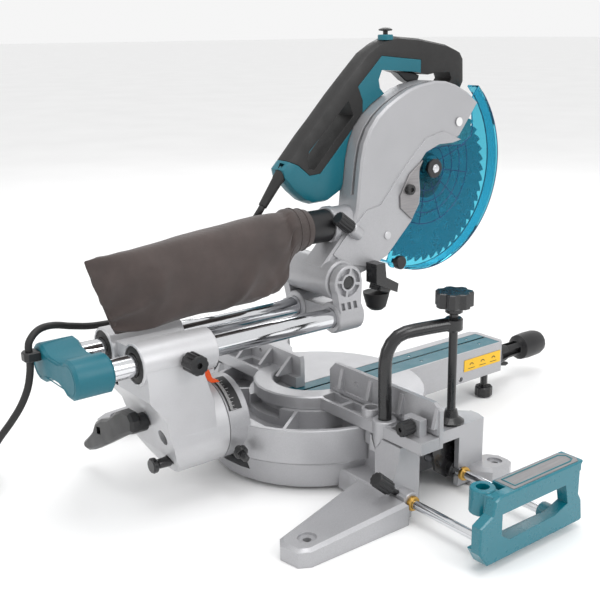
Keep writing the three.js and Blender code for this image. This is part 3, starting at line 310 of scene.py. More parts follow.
def finished(name, color, rough, metal=0.0, grain=0.04, grain_size=1400.0, relief=0.00003,
             relief_size=900.0, soften=0.0007, wear=None, stretch=None, coat=0.0):
    """Finish with grain, soil, smudges and relief; wear is an edge colour and its strength."""
    s = Shader(name)
    fine = s.noise(grain_size, 4, 0.6, stretch)
    broad = s.noise(14, 3, 0.55)
    dark = tuple(c * (1 - grain) for c in color)
    light = tuple(min(1.0, c * (1 + grain)) for c in color)
    tint = s.mix(s.spread(fine, 0, 1, 0.35, 0.65), dark, light)
    soil = s.mix(s.spread(broad, 0, 1, 0.35, 0.7), grey(0.94), WHITE)
    final = s.multiply(tint, soil)
    if wear:
        patch = s.math("MULTIPLY", s.edge_mask(0.0012), s.spread(s.noise(90, 4), 0, 1, 0.45, 0.62))
        final = s.mix(s.math("MULTIPLY", patch, wear[1]), final, wear[0])
    s.link(final, s.surface.inputs["Base Color"])
    smudge = s.spread(s.noise(45, 5, 0.6), rough * 0.82, min(1.0, rough * 1.2))
    s.link(smudge, s.surface.inputs["Roughness"])
    s.set(Metallic=metal)
    if coat:
        s.surface.inputs["Coat Weight"].default_value = coat
        s.surface.inputs["Coat Roughness"].default_value = 0.12
    height = s.noise(relief_size, 3, 0.6, stretch)
    s.link(s.bump(height, relief, s.soft_normal(soften)), s.surface.inputs["Normal"])
    return s.material


def clear_guard(name):
    """Tinted see-through plastic, darker at its edges. A low IOR keeps the blade in view."""
    s = Shader(name)
    s.set(Metallic=0.0, IOR=1.2)
    s.surface.inputs["Transmission Weight"].default_value = 0.95
    shade = s.mix(s.edge_mask(0.0016), (0.10, 0.55, 0.70), (0.0, 0.04, 0.16))
    s.link(shade, s.surface.inputs["Base Color"])
    s.link(s.spread(s.noise(60, 4), 0.0, 0.04), s.surface.inputs["Roughness"])
    s.link(s.bump(s.noise(9, 1), 0.00001), s.surface.inputs["Normal"])
    return s.material


def cloth(name, color):
    """Woven cloth: two crossed wave patterns as thread and relief, faded in patches."""
    s = Shader(name)
    weave = []
    for direction in ("Y", "Z"):
        node = s.nodes.new("ShaderNodeTexWave")
        node.wave_type = "BANDS"
        node.bands_direction = direction
        node.inputs["Scale"].default_value = 330
        node.inputs["Distortion"].default_value = 0.6
        node.inputs["Detail"].default_value = 1.0
        s.link(s.where, node.inputs["Vector"])
        weave.append(node.outputs["Fac"])
    height = s.math("ADD", weave[0], weave[1])
    fade = s.mix(s.spread(s.noise(22, 5, 0.6), 0, 1), tuple(c * 0.8 for c in color),
                 tuple(c * 1.25 for c in color))
    thread = s.mix(s.spread(height, 0, 1, 0.2, 1.8), grey(0.7), WHITE)
    s.link(s.multiply(fade, thread), s.surface.inputs["Base Color"])
    s.set(Roughness=0.9)
    s.surface.inputs["Sheen Weight"].default_value = 0.25
    s.surface.inputs["Sheen Roughness"].default_value = 0.5
    s.link(s.bump(height, 0.00012), s.surface.inputs["Normal"])
    return s.material


ALLOY = (0.62, 0.62, 0.63)
# Finish of each material slot of the record: colour and roughness, then what isn't the default.
PLAIN_FINISHES = {
    "painted_casting": dict(color=(0.43, 0.43, 0.445), rough=0.36, metal=0.45, grain=0.10,
                            grain_size=1500, relief=0.00004, relief_size=1100, soften=0.0009,
                            wear=(ALLOY, 0.35)),
    "light_painted_arm": dict(color=(0.56, 0.56, 0.575), rough=0.34, metal=0.3, grain=0.05,
                              grain_size=1500, relief_size=1100, soften=0.0010,
                              wear=(ALLOY, 0.3)),
    "machined_plate": dict(color=(0.30, 0.29, 0.295), rough=0.42, metal=0.6, grain=0.12,
                           grain_size=500, relief=0.00002, relief_size=500, soften=0.0005,
                           stretch=(1, 0.06, 1)),
    "teal_plastic": dict(color=(0.0, 0.125, 0.17), rough=0.40, grain=0.06, grain_size=1200,
                         relief=0.00005, relief_size=1500, soften=0.0010,
                         wear=((0.08, 0.32, 0.38), 0.5)),
    "teal_casting": dict(color=(0.0, 0.15, 0.20), rough=0.28, grain_size=700, relief_size=600,
                         soften=0.0011, wear=((0.1, 0.34, 0.39), 0.35), coat=0.4),
    "black_plastic": dict(color=(0.009, 0.009, 0.010), rough=0.36, grain=0.2, grain_size=1500,
                          relief=0.00004, relief_size=1400, soften=0.0008,
                          wear=((0.07, 0.07, 0.07), 0.6)),
    "blackened_steel": dict(color=(0.011, 0.011, 0.012), rough=0.27, metal=0.1, grain=0.2,
                            grain_size=700, relief=0.00002, relief_size=500, soften=0.0008,
                            wear=((0.25, 0.25, 0.25), 0.3), coat=0.3),
    "black_rubber": dict(color=(0.010, 0.0095, 0.0095), rough=0.55, grain=0.15, grain_size=1600,
                         relief=0.00006, relief_size=1600, soften=0.0010,
                         wear=((0.06, 0.055, 0.055), 0.6)),
    "chrome_steel": dict(color=(0.74, 0.75, 0.77), rough=0.09, metal=1.0, grain=0.02,
                         grain_size=600, relief=0.000004, relief_size=300, soften=0.0006),
    "ground_steel": dict(color=(0.40, 0.41, 0.43), rough=0.28, metal=1.0, grain=0.05,
                         grain_size=500, relief=0.000002, relief_size=400, soften=0.0002,
                         stretch=(1, 0.2, 1)),
    "brass": dict(color=(0.60, 0.36, 0.09), rough=0.30, metal=1.0, grain=0.08, grain_size=900,
                  relief=0.00002, soften=0.0005, relief_size=700),
    "orange_plastic": dict(color=(0.80, 0.09, 0.008), rough=0.4, grain=0.06, grain_size=1300,
                           relief_size=1300, soften=0.0006, wear=((0.9, 0.25, 0.1), 0.4)),
}
FINISHES = {name: finished(name, **look) for name, look in PLAIN_FINISHES.items()}
FINISHES["clear_teal_plastic"] = clear_guard("clear_teal_plastic")
FINISHES["bag_cloth"] = cloth("bag_cloth", (0.068, 0.051, 0.047))
WHITE_INK = finished("white_ink", (0.75, 0.75, 0.75), 0.5)
YELLOW = finished("yellow_label", (0.85, 0.50, 0.01), 0.35)
LABEL_INK = finished("label_ink", (0.02, 0.02, 0.02), 0.5, grain=0.1)
GUARD_EDGE = finished("guard_edge", (0.0, 0.035, 0.13), 0.15, grain=0.05)
TEAL_LINE = finished("teal_line", (0.0, 0.16, 0.2), 0.4, grain=0.05)


def dress_frame():
    """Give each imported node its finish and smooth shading."""
    slot_of = {p["node"]: p["material_slot"] for p in frame["record"]["subparts"]}
    for name, obj in frame["nodes"].items():
        normals = obj.data.attributes.get("custom_normal")
        if normals:
            obj.data.attributes.remove(normals)
        obj.data.materials.clear()
        obj.data.materials.append(FINISHES[slot_of[name]])
        for polygon in obj.data.polygons:
            polygon.use_smooth = True
        weld = obj.modifiers.new("weld", "WELD")
        weld.merge_threshold = 1e-6
        round_edges(obj)


dress_frame()


def add(piece, material, slot, body, *nodes):
    """Hang a piece on a body, with its material and the nodes it stands in for. The slot is not
    used.
    """
    if not piece.data.materials:
        piece.data.materials.append(material)
    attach(piece, body)
    if nodes:
        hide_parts(*nodes)


# ---- mains lead --------------------------------------------------------------
LEAD = 7.6 * MM
CLIP_EXIT = Vector((35.5, 336.5, 179.65)) * MM
# The hanging stretch from under the clip to the coil, in millimetres.
HANGING = [(36, 337.5, 168), (37.5, 341.5, 150), (41.5, 349.5, 131), (48, 360, 113),
           (57, 370, 96), (70, 380.5, 73), (84, 392, 52), (96, 404, 33), (107, 415, 18.5),
           (117, 425, 9.3), (124, 432, 5.2)]
# The coil: its centre, its outer and inner radius and three layers. Angles are in degrees.
COIL = Vector((168, 400, 0)) * MM
COIL_RADII = (46.05 * MM, 38.35 * MM)
COIL_LEVELS = (3.85 * MM, 11.5 * MM, 19.15 * MM)
COIL_ORDER = [(0, 0), (1, 0), (1, 1), (0, 1), (0, 2), (1, 2)]  # radius and layer of each stage
MEET_RADIUS = 54.15 * MM
MEET_TURN = 80
COIL_START, COIL_END = 135, 150
COIL_TRAVEL = 5 * 360 + COIL_START - COIL_END
COIL_STEP = 15
STAGE_TURN = 320
SHIFT_TURN = 40
PLUG_HEIGHT = 32.55 * MM
PLUG_ANGLE = 50
PLUG_STEPS = 10
# Ends of the first two stretches of the lead, as places in the route's points.
SLIDE_END, BEVEL_END = 12, 18
# The stretch from the handle to the clip, in millimetres: the cord guard's root and direction,
# how far along it the lead leaves the guard and starts to bend, then the points given.
GLAND = Vector((15, 31, 341))
GLAND_WAY = Vector((0, 0.62, -0.78)).normalized()
LEAVE_GUARD, START_BEND = 42, 50
UPPER = [(23.5, 68, 287), (34, 76, 268), (46, 90, 246), (57, 111, 226), (64.5, 140, 207),
         (67.5, 175, 197), (67.5, 215, 192), (67.5, 250, 192.5), (64.5, 276, 198),
         (57, 297, 205), (47, 314, 208.5), (40, 326, 207), (36, 334.5, 200.5),
         (35.5, 336.5, 194.5), (35.5, 336.5, 190.2)]


def smooth_step(t):
    """0 to 1 with level ends, held outside 0..1."""
    t = min(max(t, 0.0), 1.0)
    return t * t * (3 - 2 * t)


def coil_point(travel):
    """Point on the coil after so many degrees of travel, in six stages over three layers."""
    last_stage = len(COIL_ORDER) - 1
    stage = min(int((travel + SHIFT_TURN) // STAGE_TURN), last_stage) if travel > 0 else 0
    spot = [(COIL_RADII[r], COIL_LEVELS[z]) for r, z in COIL_ORDER]
    here = spot[stage]
    if stage > 0:
        start = stage * STAGE_TURN - SHIFT_TURN
        share = smooth_step((travel - start) / SHIFT_TURN)
        before = spot[stage - 1]
        here = tuple(b + (h - b) * share for b, h in zip(before, here))
    radius, height = here
    if stage == 0:
        radius = MEET_RADIUS + (radius - MEET_RADIUS) * smooth_step(travel / MEET_TURN)
    angle = math.radians(COIL_START - travel)
    return COIL + Vector((radius * math.cos(angle), radius * math.sin(angle), height))


def lead_route():
    """The lead from the clip to the plug: hanging, coiled, then up to the plug on the coil."""
    points = [CLIP_EXIT] + [Vector(p) * MM for p in HANGING]
    points += [coil_point(float(travel)) for travel in range(0, COIL_TRAVEL, COIL_STEP)]
    for i in range(PLUG_STEPS + 1):
        t = i / PLUG_STEPS
        angle = math.radians(COIL_END - (COIL_END - PLUG_ANGLE) * t)
        rise = COIL_LEVELS[2] + (PLUG_HEIGHT - COIL_LEVELS[2]) * smooth_step(t)
        points.append(COIL + Vector((COIL_RADII[1] * math.cos(angle),
                                     COIL_RADII[1] * math.sin(angle), rise)))
    return points


def spline_points(points, per_span):
    """Smooth curve through the points, with so many samples between each two."""
    out = []
    for i in range(len(points) - 1):
        p0 = points[max(i - 1, 0)]
        p1, p2 = points[i], points[i + 1]
        p3 = points[min(i + 2, len(points) - 1)]
        for k in range(per_span):
            t = k / per_span
            out.append(0.5 * ((2 * p1) + (p2 - p0) * t + (2 * p0 - 5 * p1 + 4 * p2 - p3) * t * t
                              + (3 * p1 - p0 - 3 * p2 + p3) * t ** 3))
    out.append(points[-1])
    return out


def curve_tube(name, points, radius, cyclic=False):
    """Round wire along the points, as a curve object."""
    data = bpy.data.curves.new(name, "CURVE")
    data.dimensions = "3D"
    data.bevel_depth = radius
    data.bevel_resolution = 4
    data.use_fill_caps = True
    spline = data.splines.new("POLY")
    spline.points.add(len(points) - 1)
    for target, p in zip(spline.points, points):
        target.co = (*p, 1)
    spline.use_cyclic_u = cyclic
    obj = bpy.data.objects.new(name, data)
    bpy.context.scene.collection.objects.link(obj)
    return obj


def mesh_tube(name, points, radius, sides=20):
    """Round tube of mesh along a route, with flat ends and rings that don't twist."""
    rings = []
    facing = None
    for i, p in enumerate(points):
        before, after = points[max(i - 1, 0)], points[min(i + 1, len(points) - 1)]
        way = (after - before).normalized()
        if facing is None:
            facing = way.orthogonal()
        facing = (facing - way * facing.dot(way)).normalized()
        side = way.cross(facing)
        rings.extend(p + (facing * math.cos(a) + side * math.sin(a)) * radius
                     for a in [2 * math.pi * k / sides for k in range(sides)])
    faces = []
    for row in range(len(points) - 1):
        for k in range(sides):
            j = (k + 1) % sides
            faces.append((row * sides + k, row * sides + j, (row + 1) * sides + j,
                          (row + 1) * sides + k))
    faces.append(tuple(reversed(range(sides))))
    faces.append(tuple(range((len(points) - 1) * sides, len(points) * sides)))
    tube = mesh_object(name, rings, faces)
    round_edges(tube)
    return tube


def blended_lead(name, points):
    """A stretch of the lead: a black rubber tube along the points, its place baked into the mesh.
    """
    lead = mesh_tube(name, points, LEAD / 2)
    lead.data.materials.append(FINISHES["black_rubber"])
    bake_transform(lead)
    return lead


def free_lead():
    """Lead from the clip to the plug: a stretch for each joint between poles and base."""
    route = spline_points(lead_route(), 3)
    blended_lead("lead_at_clip", route[:SLIDE_END + 2])
    blended_lead("lead_below_clip", route[SLIDE_END:BEVEL_END + 2])
    rest = route[BEVEL_END:]
    lead = blended_lead("lead_free", rest)
    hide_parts("cord_free", "cord_coil")


def upper_lead():
    """Lead from the cord guard on the handle to the clip on the end cap."""
    route = [GLAND + GLAND_WAY * LEAVE_GUARD, GLAND + GLAND_WAY * START_BEND]
    route += [Vector(p) for p in UPPER]
    points = [p * MM for p in spline_points(route, 5)]
    lead = blended_lead("lead_upper", points)
    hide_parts("cord_upper")


free_lead()
upper_lead()


# ---- floor and light ---------------------------------------------------------
FLOOR_REACH = 40.0
FLOOR_DROP = 0.0002  # keeps the floor clear of the flat undersides
SKY_STRENGTH = 0.92
LIGHT_AIM = Vector((0, 0, 0.2))


def make_stage():
    """Pale floor as far as the camera sees, white world, and colours as they are given."""
    corners = [(-1, -1), (1, -1), (1, 1), (-1, 1)]
    floor = mesh_object("floor", [(x * FLOOR_REACH, y * FLOOR_REACH, 0) for x, y in corners],
                        [(0, 1, 2, 3)])
    s = Shader("floor_paper")
    s.link(s.mix(s.spread(s.noise(3, 2), 0, 1), grey(0.90), grey(0.93)),
           s.surface.inputs["Base Color"])
    s.set(Roughness=0.75)
    floor.data.materials.append(s.material)
    floor.location.z = -FLOOR_DROP
    world = bpy.data.worlds.new("studio")
    world.use_nodes = True
    sky = world.node_tree.nodes["Background"]
    sky.inputs["Color"].default_value = (*WHITE, 1)
    sky.inputs["Strength"].default_value = SKY_STRENGTH
    bpy.context.scene.world = world
    bpy.context.scene.view_settings.view_transform = "Standard"


def soft_light(name, place, power, size, size_y=None):
    """Area light of so many watts, aimed at the middle of the saw."""
    data = bpy.data.lights.new(name, "AREA")
    data.energy = power
    data.shape = "RECTANGLE"
    data.size = size
    data.size_y = size_y or size
    light = bpy.data.objects.new(name, data)
    bpy.context.scene.collection.objects.link(light)
    light.location = place
    aim = LIGHT_AIM - Vector(place)
    light.rotation_euler = aim.to_track_quat("-Z", "Y").to_euler()


make_stage()
soft_light("top", (-0.2, 0.1, 2.2), 16, 1.2)
soft_light("key", (-1.9, -0.3, 1.4), 13, 0.8, 1.2)
soft_light("rear", (0.6, 2.0, 1.2), 5, 0.9)
soft_light("rim", (1.6, -1.4, 1.5), 7, 0.9)


# ---- dust bag ----------------------------------------------------------------
BAG_X = -3
# In millimetres: place along Y, half width, top, bottom.
BAG_STATIONS = [(12, 21.8, 301.5, 257), (20, 22.6, 303, 255), (32, 23.6, 305, 252.5),
                (44, 24.5, 307.5, 242), (54, 25.5, 309, 217), (64, 26.5, 309, 207.5),
                (84, 27, 308.5, 206.5), (110, 28, 306, 207.5), (140, 28, 302.5, 208.5),
                (170, 26.5, 299.5, 207.5), (200, 23, 296.5, 206), (230, 18.5, 293.5, 205.5),
                (256, 13, 291.5, 205), (274, 7.5, 290, 204.5), (284, 3.6, 289, 204),
                (287, 1.6, 288.6, 204)]
BAG_STEP = 5
BAG_SIDES = 64
BAG_TAIL = (200, 287)  # where the bag's top starts to lean past its foot, and the bag's end
CUFF_END = 30
HOLD_FADE = 0.03  # metres over which the cloth's hold fades out behind the cuff
CLOTH_FRAMES = 22
CLOTH_CAP = 7 * MM
SEAM_RADIUS = 0.55 * MM
SEAM_PROUD = 0.5
SEAM_POINTS = 48


def bag_stations():
    """The stations with more of them between, at most BAG_STEP apart."""
    out = []
    for a, b in zip(BAG_STATIONS, BAG_STATIONS[1:]):
        steps = max(1, round((b[0] - a[0]) / BAG_STEP))
        for k in range(steps):
            t = k / steps
            out.append(tuple(p + (q - p) * t for p, q in zip(a, b)))
    out.append(BAG_STATIONS[-1])
    return out


def bag_mesh():
    """Lofted shell of the bag: round at the cuff, squarer behind it, leaning at the tail."""
    sides = BAG_SIDES
    points = []
    rows = bag_stations()
    for y, half, top, bottom in rows:
        middle, tall = (top + bottom) / 2, (top - bottom) / 2
        square = 2.0 + 0.7 * smooth_step((y - CUFF_END) / 60)
        for i in range(sides):
            a = 2 * math.pi * i / sides
            c, s = math.cos(a), math.sin(a)
            x = half * math.copysign(abs(c) ** (2 / square), c)
            z = tall * math.copysign(abs(s) ** (2 / square), s)
            tail = smooth_step((y - BAG_TAIL[0]) / (BAG_TAIL[1] - BAG_TAIL[0]))
            lean = tail * (13 * z / 42 - 8)
            points.append(Vector((BAG_X + x, y + lean, middle + z)) * MM)
    faces = []
    for row in range(len(rows) - 1):
        for i in range(sides):
            j = (i + 1) % sides
            faces.append((row * sides + i, row * sides + j, (row + 1) * sides + j,
                          (row + 1) * sides + i))
    faces.append(tuple(range((len(rows) - 1) * sides, len(rows) * sides)))
    bag = mesh_object("bag", points, faces)
    clean(bag)
    return bag


def inflate(bag):
    """Cloth simulation under light pressure, held at the cuff, each point's move capped."""
    rest = [v.co.copy() for v in bag.data.vertices]
    held = bag.vertex_groups.new(name="held")
    for v in bag.data.vertices:
        grip = 1.0 - smooth_step((v.co.y - CUFF_END * MM) / HOLD_FADE)
        if grip > 0:
            held.add([v.index], grip, "REPLACE")
    sim = bag.modifiers.new("cloth", "CLOTH")
    settings = sim.settings
    settings.quality = 6
    settings.mass = 0.25
    settings.tension_stiffness = 22
    settings.compression_stiffness = 22
    settings.bending_stiffness = 0.35
    settings.shrink_min = -0.035
    settings.use_pressure = True
    settings.uniform_pressure_force = 1.2
    settings.effector_weights.gravity = 0.25
    settings.vertex_group_mass = "held"
    sim.point_cache.frame_start = 1
    sim.point_cache.frame_end = CLOTH_FRAMES + 2
    scene = bpy.context.scene
    for number in range(1, CLOTH_FRAMES + 1):
        scene.frame_set(number)
    solved = bag.evaluated_get(bpy.context.evaluated_depsgraph_get())
    moved = [v.co.copy() for v in solved.data.vertices]
    bag.modifiers.remove(sim)
    for v, old, new in zip(bag.data.vertices, rest, moved):
        step = new - old
        if step.length > CLOTH_CAP:
            step *= CLOTH_CAP / step.length
        v.co = old + step
    scene.frame_set(1)


def crumple(bag):
    """Slack folds: rays from the lower corners, then long sweeps, then two sizes of wrinkle."""
    rear_corner = Vector((BAG_X, 280, 206)) * MM
    front_corner = Vector((BAG_X, 66, 214)) * MM
    rays = ((rear_corner, 0.12, 5.0), (front_corner, 0.06, 3.0))  # centre, reach, folds
    slack = -1.5 * MM
    bag.data.update()
    normals = [v.normal.copy() for v in bag.data.vertices]
    for v, normal in zip(bag.data.vertices, normals):
        loose = smooth_step((v.co.y - 0.035) / 0.05)
        side = abs(normal.x)
        push = slack
        for centre, reach, count in rays:
            away = v.co - centre
            angle = math.atan2(away.z, away.y)
            near = 1 - smooth_step(away.length / reach)
            wander = 1.2 * noise.noise(v.co * 18)
            ridge = 1 - abs(math.sin(count * angle + wander))
            push += 9 * MM * near * (ridge ** 2 - 0.4)
        sweep = 9 * v.co.z + 5.5 * v.co.y + 1.5 * noise.noise(v.co * 9)
        push += 4.0 * MM * (1 - abs(math.sin(sweep * 3.2))) ** 2
        push += 3.0 * MM * noise.noise(Vector((v.co.x * 12, v.co.y * 11, v.co.z * 26)))
        push += 1.6 * MM * noise.noise(Vector((v.co.x * 30, v.co.y * 42, v.co.z * 60)))
        v.co += normal * push * loose * (0.3 + 0.7 * side)


def dust_bag():
    """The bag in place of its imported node, with two seams round the cuff."""
    bag = bag_mesh()
    inflate(bag)
    crumple(bag)
    fine = bag.modifiers.new("fine", "SUBSURF")
    fine.levels = 1
    fine.render_levels = 1
    add(bag, FINISHES["bag_cloth"], "bag_cloth", "head", "dust_bag")
    for number, (y, half, top, bottom) in enumerate([BAG_STATIONS[1], BAG_STATIONS[2]]):
        middle, tall = (top + bottom) / 2, (top - bottom) / 2
        ring = [Vector((BAG_X + (half + SEAM_PROUD) * math.cos(a), y,
                        middle + (tall + SEAM_PROUD) * math.sin(a))) * MM
                for a in [2 * math.pi * i / SEAM_POINTS for i in range(SEAM_POINTS)]]
        seam = curve_tube(f"bag_cuff_seam_{number}", ring, SEAM_RADIUS, True)
        add(seam, FINISHES["bag_cloth"], "bag_cloth", "head")


dust_bag()


# ---- small trim --------------------------------------------------------------
# In millimetres, in the saw's frame: the faces and places that the trim sits on.
POLE_X = 35
POLE_HEIGHT = 175.5
POLE_SEALS = (("rear", 252.7, 1, 20.2), ("front", 171.3, -1, 17.2))  # Y, way out, outer radius
BOARD_TOP = 75.7
BOARD_SCREW_PLACES = (-282, -170, -60)
CASE_FACE = -27.7
CAP_REAR = 326.9
WING_TOP = 77.95


def pole_seals():
    """Rubber wipers round the poles, at both ends of their housings."""
    for side, x in (("left", -POLE_X), ("right", POLE_X)):
        for place, y, way, outer in POLE_SEALS:
            profile = [(12.35, 0), (outer, 0), (outer, 1.6), (outer - 1, 2.7), (15.2, 2.8),
                       (13.6, 3.8), (12.7, 3.6), (12.35, 3.0)]
            seal = lathe(f"pole_seal_{place}_{side}", profile, (x, y, POLE_HEIGHT),
                         (0, way, 0), 56)
            add(seal, FINISHES["black_rubber"], "black_rubber", "bevel")


def bevel_adjust_bolt():
    """Socket head bolt: turned head with a recess."""
    radius, height = 7.6, 7
    recess, chamfer, floor = radius * 0.52, radius * 0.62, 0.15 * height
    profile = [(recess, floor), (recess, height * 0.94), (chamfer, height),
               (radius * 0.86, height), (radius, height * 0.84), (radius, 0), (radius * 0.3, 0),
               (radius * 0.3, floor)]
    bolt = lathe("bevel_adjust_bolt_rim", profile, (-28, 211, 84), (0, 1, 0), 36)
    add(bolt, FINISHES["blackened_steel"], "blackened_steel", "bevel")


def rings_and_screws():
    """The collar of the lock-off button, the kerf boards' screws and the case's rivet."""
    collar = lathe("lock_button_collar", [(3.6, 0), (9.4, 0), (9.2, 5.2), (8.6, 6.1), (6.4, 6.2),
                                          (5.2, 5.8), (3.6, 5.7)], (15, -129, 487), (0, 0, 1), 48)
    add(collar, FINISHES["teal_plastic"], "teal_plastic", "head")
    for number, y in enumerate(BOARD_SCREW_PLACES):
        for side, x in (("left", -14.9), ("right", 10.1)):
            screw = lathe(f"board_screw_{side}_{number}", [(0.9, 0), (0.9, 0.9), (2.2, 1.3),
                                                           (2.4, 0.9), (2.4, 0)],
                          (x, y, BOARD_TOP), (0, 0, 1), 24)
            add(screw, FINISHES["chrome_steel"], "chrome_steel", "turn")
    rivet = lathe("case_rivet", [(0, 0), (5.2, 0), (5, 1.2), (3.4, 2), (0, 2.2)],
                  (CASE_FACE, -96, 260), (-1, 0, 0), 36)
    add(rivet, FINISHES["light_painted_arm"], "light_painted_arm", "head")


GUARD_CENTRE = (-173.5, 334)
GUARD_REAR = [(-250, 413), (-253, 382), (-251, 368), (-234, 357), (-210, 358), (-182, 357),
              (-166, 352), (-157, 344), (-156, 326), (-158, 310), (-157, 290), (-144, 271),
              (-128, 253), (-113, 238)]
GUARD_SIDE = GUARD_REAR + [(-102, 214), (-96, 180), (-400, 180), (-400, 430), (-262, 430)]
GUARD_HUB, GUARD_REACH = 19, 128
GUARD_FACE = -15.4
RIB_RADII = (29, 43, 57, 71)
SPOKE_ANGLES = (-100, -70, -40, -10, 20)
SPOKE_END, SPOKE_STEP = 73, 4
RIB_THICKNESS = 0.55 * MM
RIM_RADIUS = 129.9
RIM_SIDES = (("rim_left", -15.3), ("rim_right", 2.8))
EDGE_THICKNESS = 0.6 * MM
SHORTEST_RUN = 4  # points in a rib


def round_guard(radius, degrees):
    """Point (y, z) at a radius and an angle from the guard's centre, from its rear upwards."""
    a = math.radians(degrees)
    return (GUARD_CENTRE[0] - radius * math.cos(a), GUARD_CENTRE[1] + radius * math.sin(a))


def on_guard(y, z):
    """True where the guard's side wall has material: in front of its rear edge, inside its rim."""
    inside = False
    for (y0, z0), (y1, z1) in zip(GUARD_SIDE, GUARD_SIDE[1:] + GUARD_SIDE[:1]):
        if (z0 > z) != (z1 > z) and y < y0 + (z - z0) * (y1 - y0) / (z1 - z0):
            inside = not inside
    reach = math.hypot(y - GUARD_CENTRE[0], z - GUARD_CENTRE[1])
    return inside and GUARD_HUB < reach < GUARD_REACH


def on_rim(y, z):
    """True on the rim's open stretch, clear of the blade case."""
    return y < -112 and z < 424 and (y < -262 or z < 410)


def rib_runs():
    """Arcs and spokes (y, z) round the hub, each only where the side wall has material."""
    runs = []
    for radius in RIB_RADII:
        run = []
        for step in range(181):
            y, z = round_guard(radius, 2 * step)
            if on_guard(y, z) and on_guard(y + 3, z + 1):
                run.append((y, z))
            else:
                runs.append(run)
                run = []
        runs.append(run)
    for degree in SPOKE_ANGLES:
        spoke = [round_guard(r, degree) for r in range(GUARD_HUB + 1, SPOKE_END, SPOKE_STEP)]
        runs.append([point for point in spoke if on_guard(*point)])
    return [run for run in runs if len(run) >= SHORTEST_RUN]


def guard_line(name, line, x, thickness):
    """Dark wire along points (y, z) in the plane at x, riding on the guard."""
    wire = curve_tube(name, [Vector((x, y, z)) * MM for y, z in line], thickness)
    add(wire, GUARD_EDGE, "clear_teal_plastic", "guard")


def guard_ribs():
    """Moulded ribs round the hub, dark lines along the guard's edges and the hub bolt's tip."""
    for number, run in enumerate(rib_runs()):
        guard_line(f"guard_rib_{number}", run, GUARD_FACE, RIB_THICKNESS)
    rim = [round_guard(RIM_RADIUS, -100 + 2 * step) for step in range(120)]
    rim = [point for point in rim if on_rim(*point)]
    guard_line("guard_edge_rear", GUARD_REAR[1:], GUARD_FACE, EDGE_THICKNESS)
    for name, x in RIM_SIDES:
        guard_line(f"guard_edge_{name}", rim, x, EDGE_THICKNESS)
    tip = lathe("guard_hub_bolt_tip", [(0, 0), (5.4, 0), (5.4, 1.2), (4.2, 2.4), (0, 2.9)],
                (-29.9, *GUARD_CENTRE), (-1, 0, 0), 32)
    add(tip, FINISHES["chrome_steel"], "chrome_steel", "head")


def cap_outline():
    """Raised outline on the rear face of the pole end cap, round both poles."""
    reach, steps, thickness = 15.5, 12, 0.6 * MM
    outline = []
    for centre, start, end in ((-POLE_X, 50, 310), (POLE_X, -130, 130)):
        for i in range(steps + 1):
            a = math.radians(start + (end - start) * i / steps)
            outline.append((centre + reach * math.cos(a), POLE_HEIGHT + reach * math.sin(a)))
    route = [Vector((x, CAP_REAR, z)) * MM for x, z in outline]
    add(curve_tube("cap_outline", route, thickness, True), FINISHES["teal_plastic"],
        "teal_plastic", "slider")


def case_sticker():
    """Plain white disc on the blade case."""
    disc = lathe("case_sticker", [(0, 0), (5.6, 0), (5.6, 0.25), (0, 0.3)],
                 (CASE_FACE + 0.1, -216, 388), (-1, 0, 0), 40)
    add(disc, WHITE_INK, "light_painted_arm", "head")


def right_wing_trim():
    """Brass plugs round the rods of the right wing."""
    for name, y, x in (("rear", 40, 221.4), ("front", -53, 202.2)):
        plug = lathe(f"rod_plug_{name}_right", [(5.35, 0), (7.2, 0), (8.2, 1.4), (8.2, 4.4),
                                                (5.35, 4.4)], (x, y, 21), (1, 0, 0), 36)
        add(plug, FINISHES["brass"], "brass", "base")


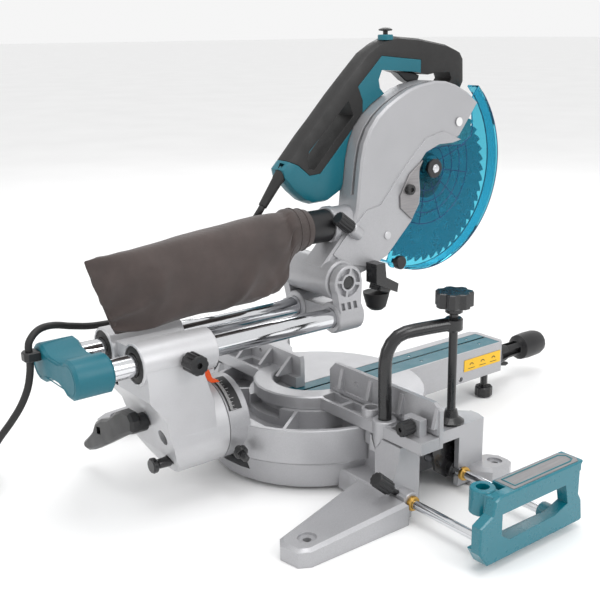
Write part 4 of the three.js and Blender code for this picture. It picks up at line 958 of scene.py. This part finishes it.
def arm_label():
    """Yellow label on the arm's side, with three plain arcs over bars where the words were."""
    centre = Vector((-31.9, -271.5, 58.5)) * MM
    along, up = (0, -1, 0), (0, 0, 1)
    plate_thickness, ink_thickness, arc_radius = 0.0003, 0.0002, 0.0042
    plate = slab("arm_label", rounded_box(0.073, 0.017, 0.001), centre, along, up,
                 plate_thickness)
    add(plate, YELLOW, "orange_plastic", "turn")
    outer = [(arc_radius * math.cos(a), arc_radius * math.sin(a)) for a in
             [math.pi * (0.1 + 0.16 * i) for i in range(6)]]
    inner = [(a * 0.72, b * 0.72) for a, b in reversed(outer)]
    bar = rounded_box(0.013, 0.0007, 0.0002, 1)
    marks = []
    for k, x in enumerate((-0.022, 0.0, 0.022)):
        base = centre + Vector((-plate_thickness, -x, -0.0012))
        below = base + Vector((0, 0, -0.0035))
        marks.append(slab(f"mark_{k}", outer + inner, base, along, up, ink_thickness))
        marks.append(slab(f"bar_{k}", bar, below, along, up, ink_thickness))
    add(joined("arm_label_marks", marks), LABEL_INK, "black_plastic", "turn")


def wing_inlay():
    """Groove line painted round the plate of the left wing."""
    outline = [(-338, -70), (-335, -77), (-326, -78), (-321, -72), (-321, 14), (-338, 14)]
    route = [Vector((x, y, WING_TOP)) * MM for x, y in outline]
    line = curve_tube("wing_plate_line", route, 0.8 * MM, True)
    add(line, TEAL_LINE, "teal_casting", "left_wing")


def tick_length(degree):
    """Long ticks each 15 degrees, middling ones each 5, short ones between."""
    return 0.0085 if degree % 15 == 0 else 0.006 if degree % 5 == 0 else 0.0035


def bevel_marks():
    """White ticks round the bevel drum, one for each degree, from its rear edge forwards."""
    drum_radius, drum_rear, axis_height = 0.04935, 0.150, 0.078
    first_degree, margin, tick_width, ink_thickness = 3, 0.0012, 0.00035, 0.0001
    along = Vector((0, 1, 0))
    marks = []
    for degree in range(61):
        a = math.radians(degree + first_degree)
        out = Vector((-math.sin(a), 0, math.cos(a)))
        length = tick_length(degree)
        base = Vector((0, drum_rear - length / 2 - margin, axis_height)) + out * drum_radius
        marks.append(slab(f"tick_{degree}", rounded_box(length, tick_width, 0.0001, 1), base,
                          along, along.cross(out) * -1, ink_thickness))
    add(joined("bevel_scale_marks", marks), WHITE_INK, "painted_casting", "turn")


pole_seals()
bevel_adjust_bolt()
rings_and_screws()
right_wing_trim()
arm_label()
wing_inlay()
bevel_marks()
guard_ribs()
cap_outline()
case_sticker()
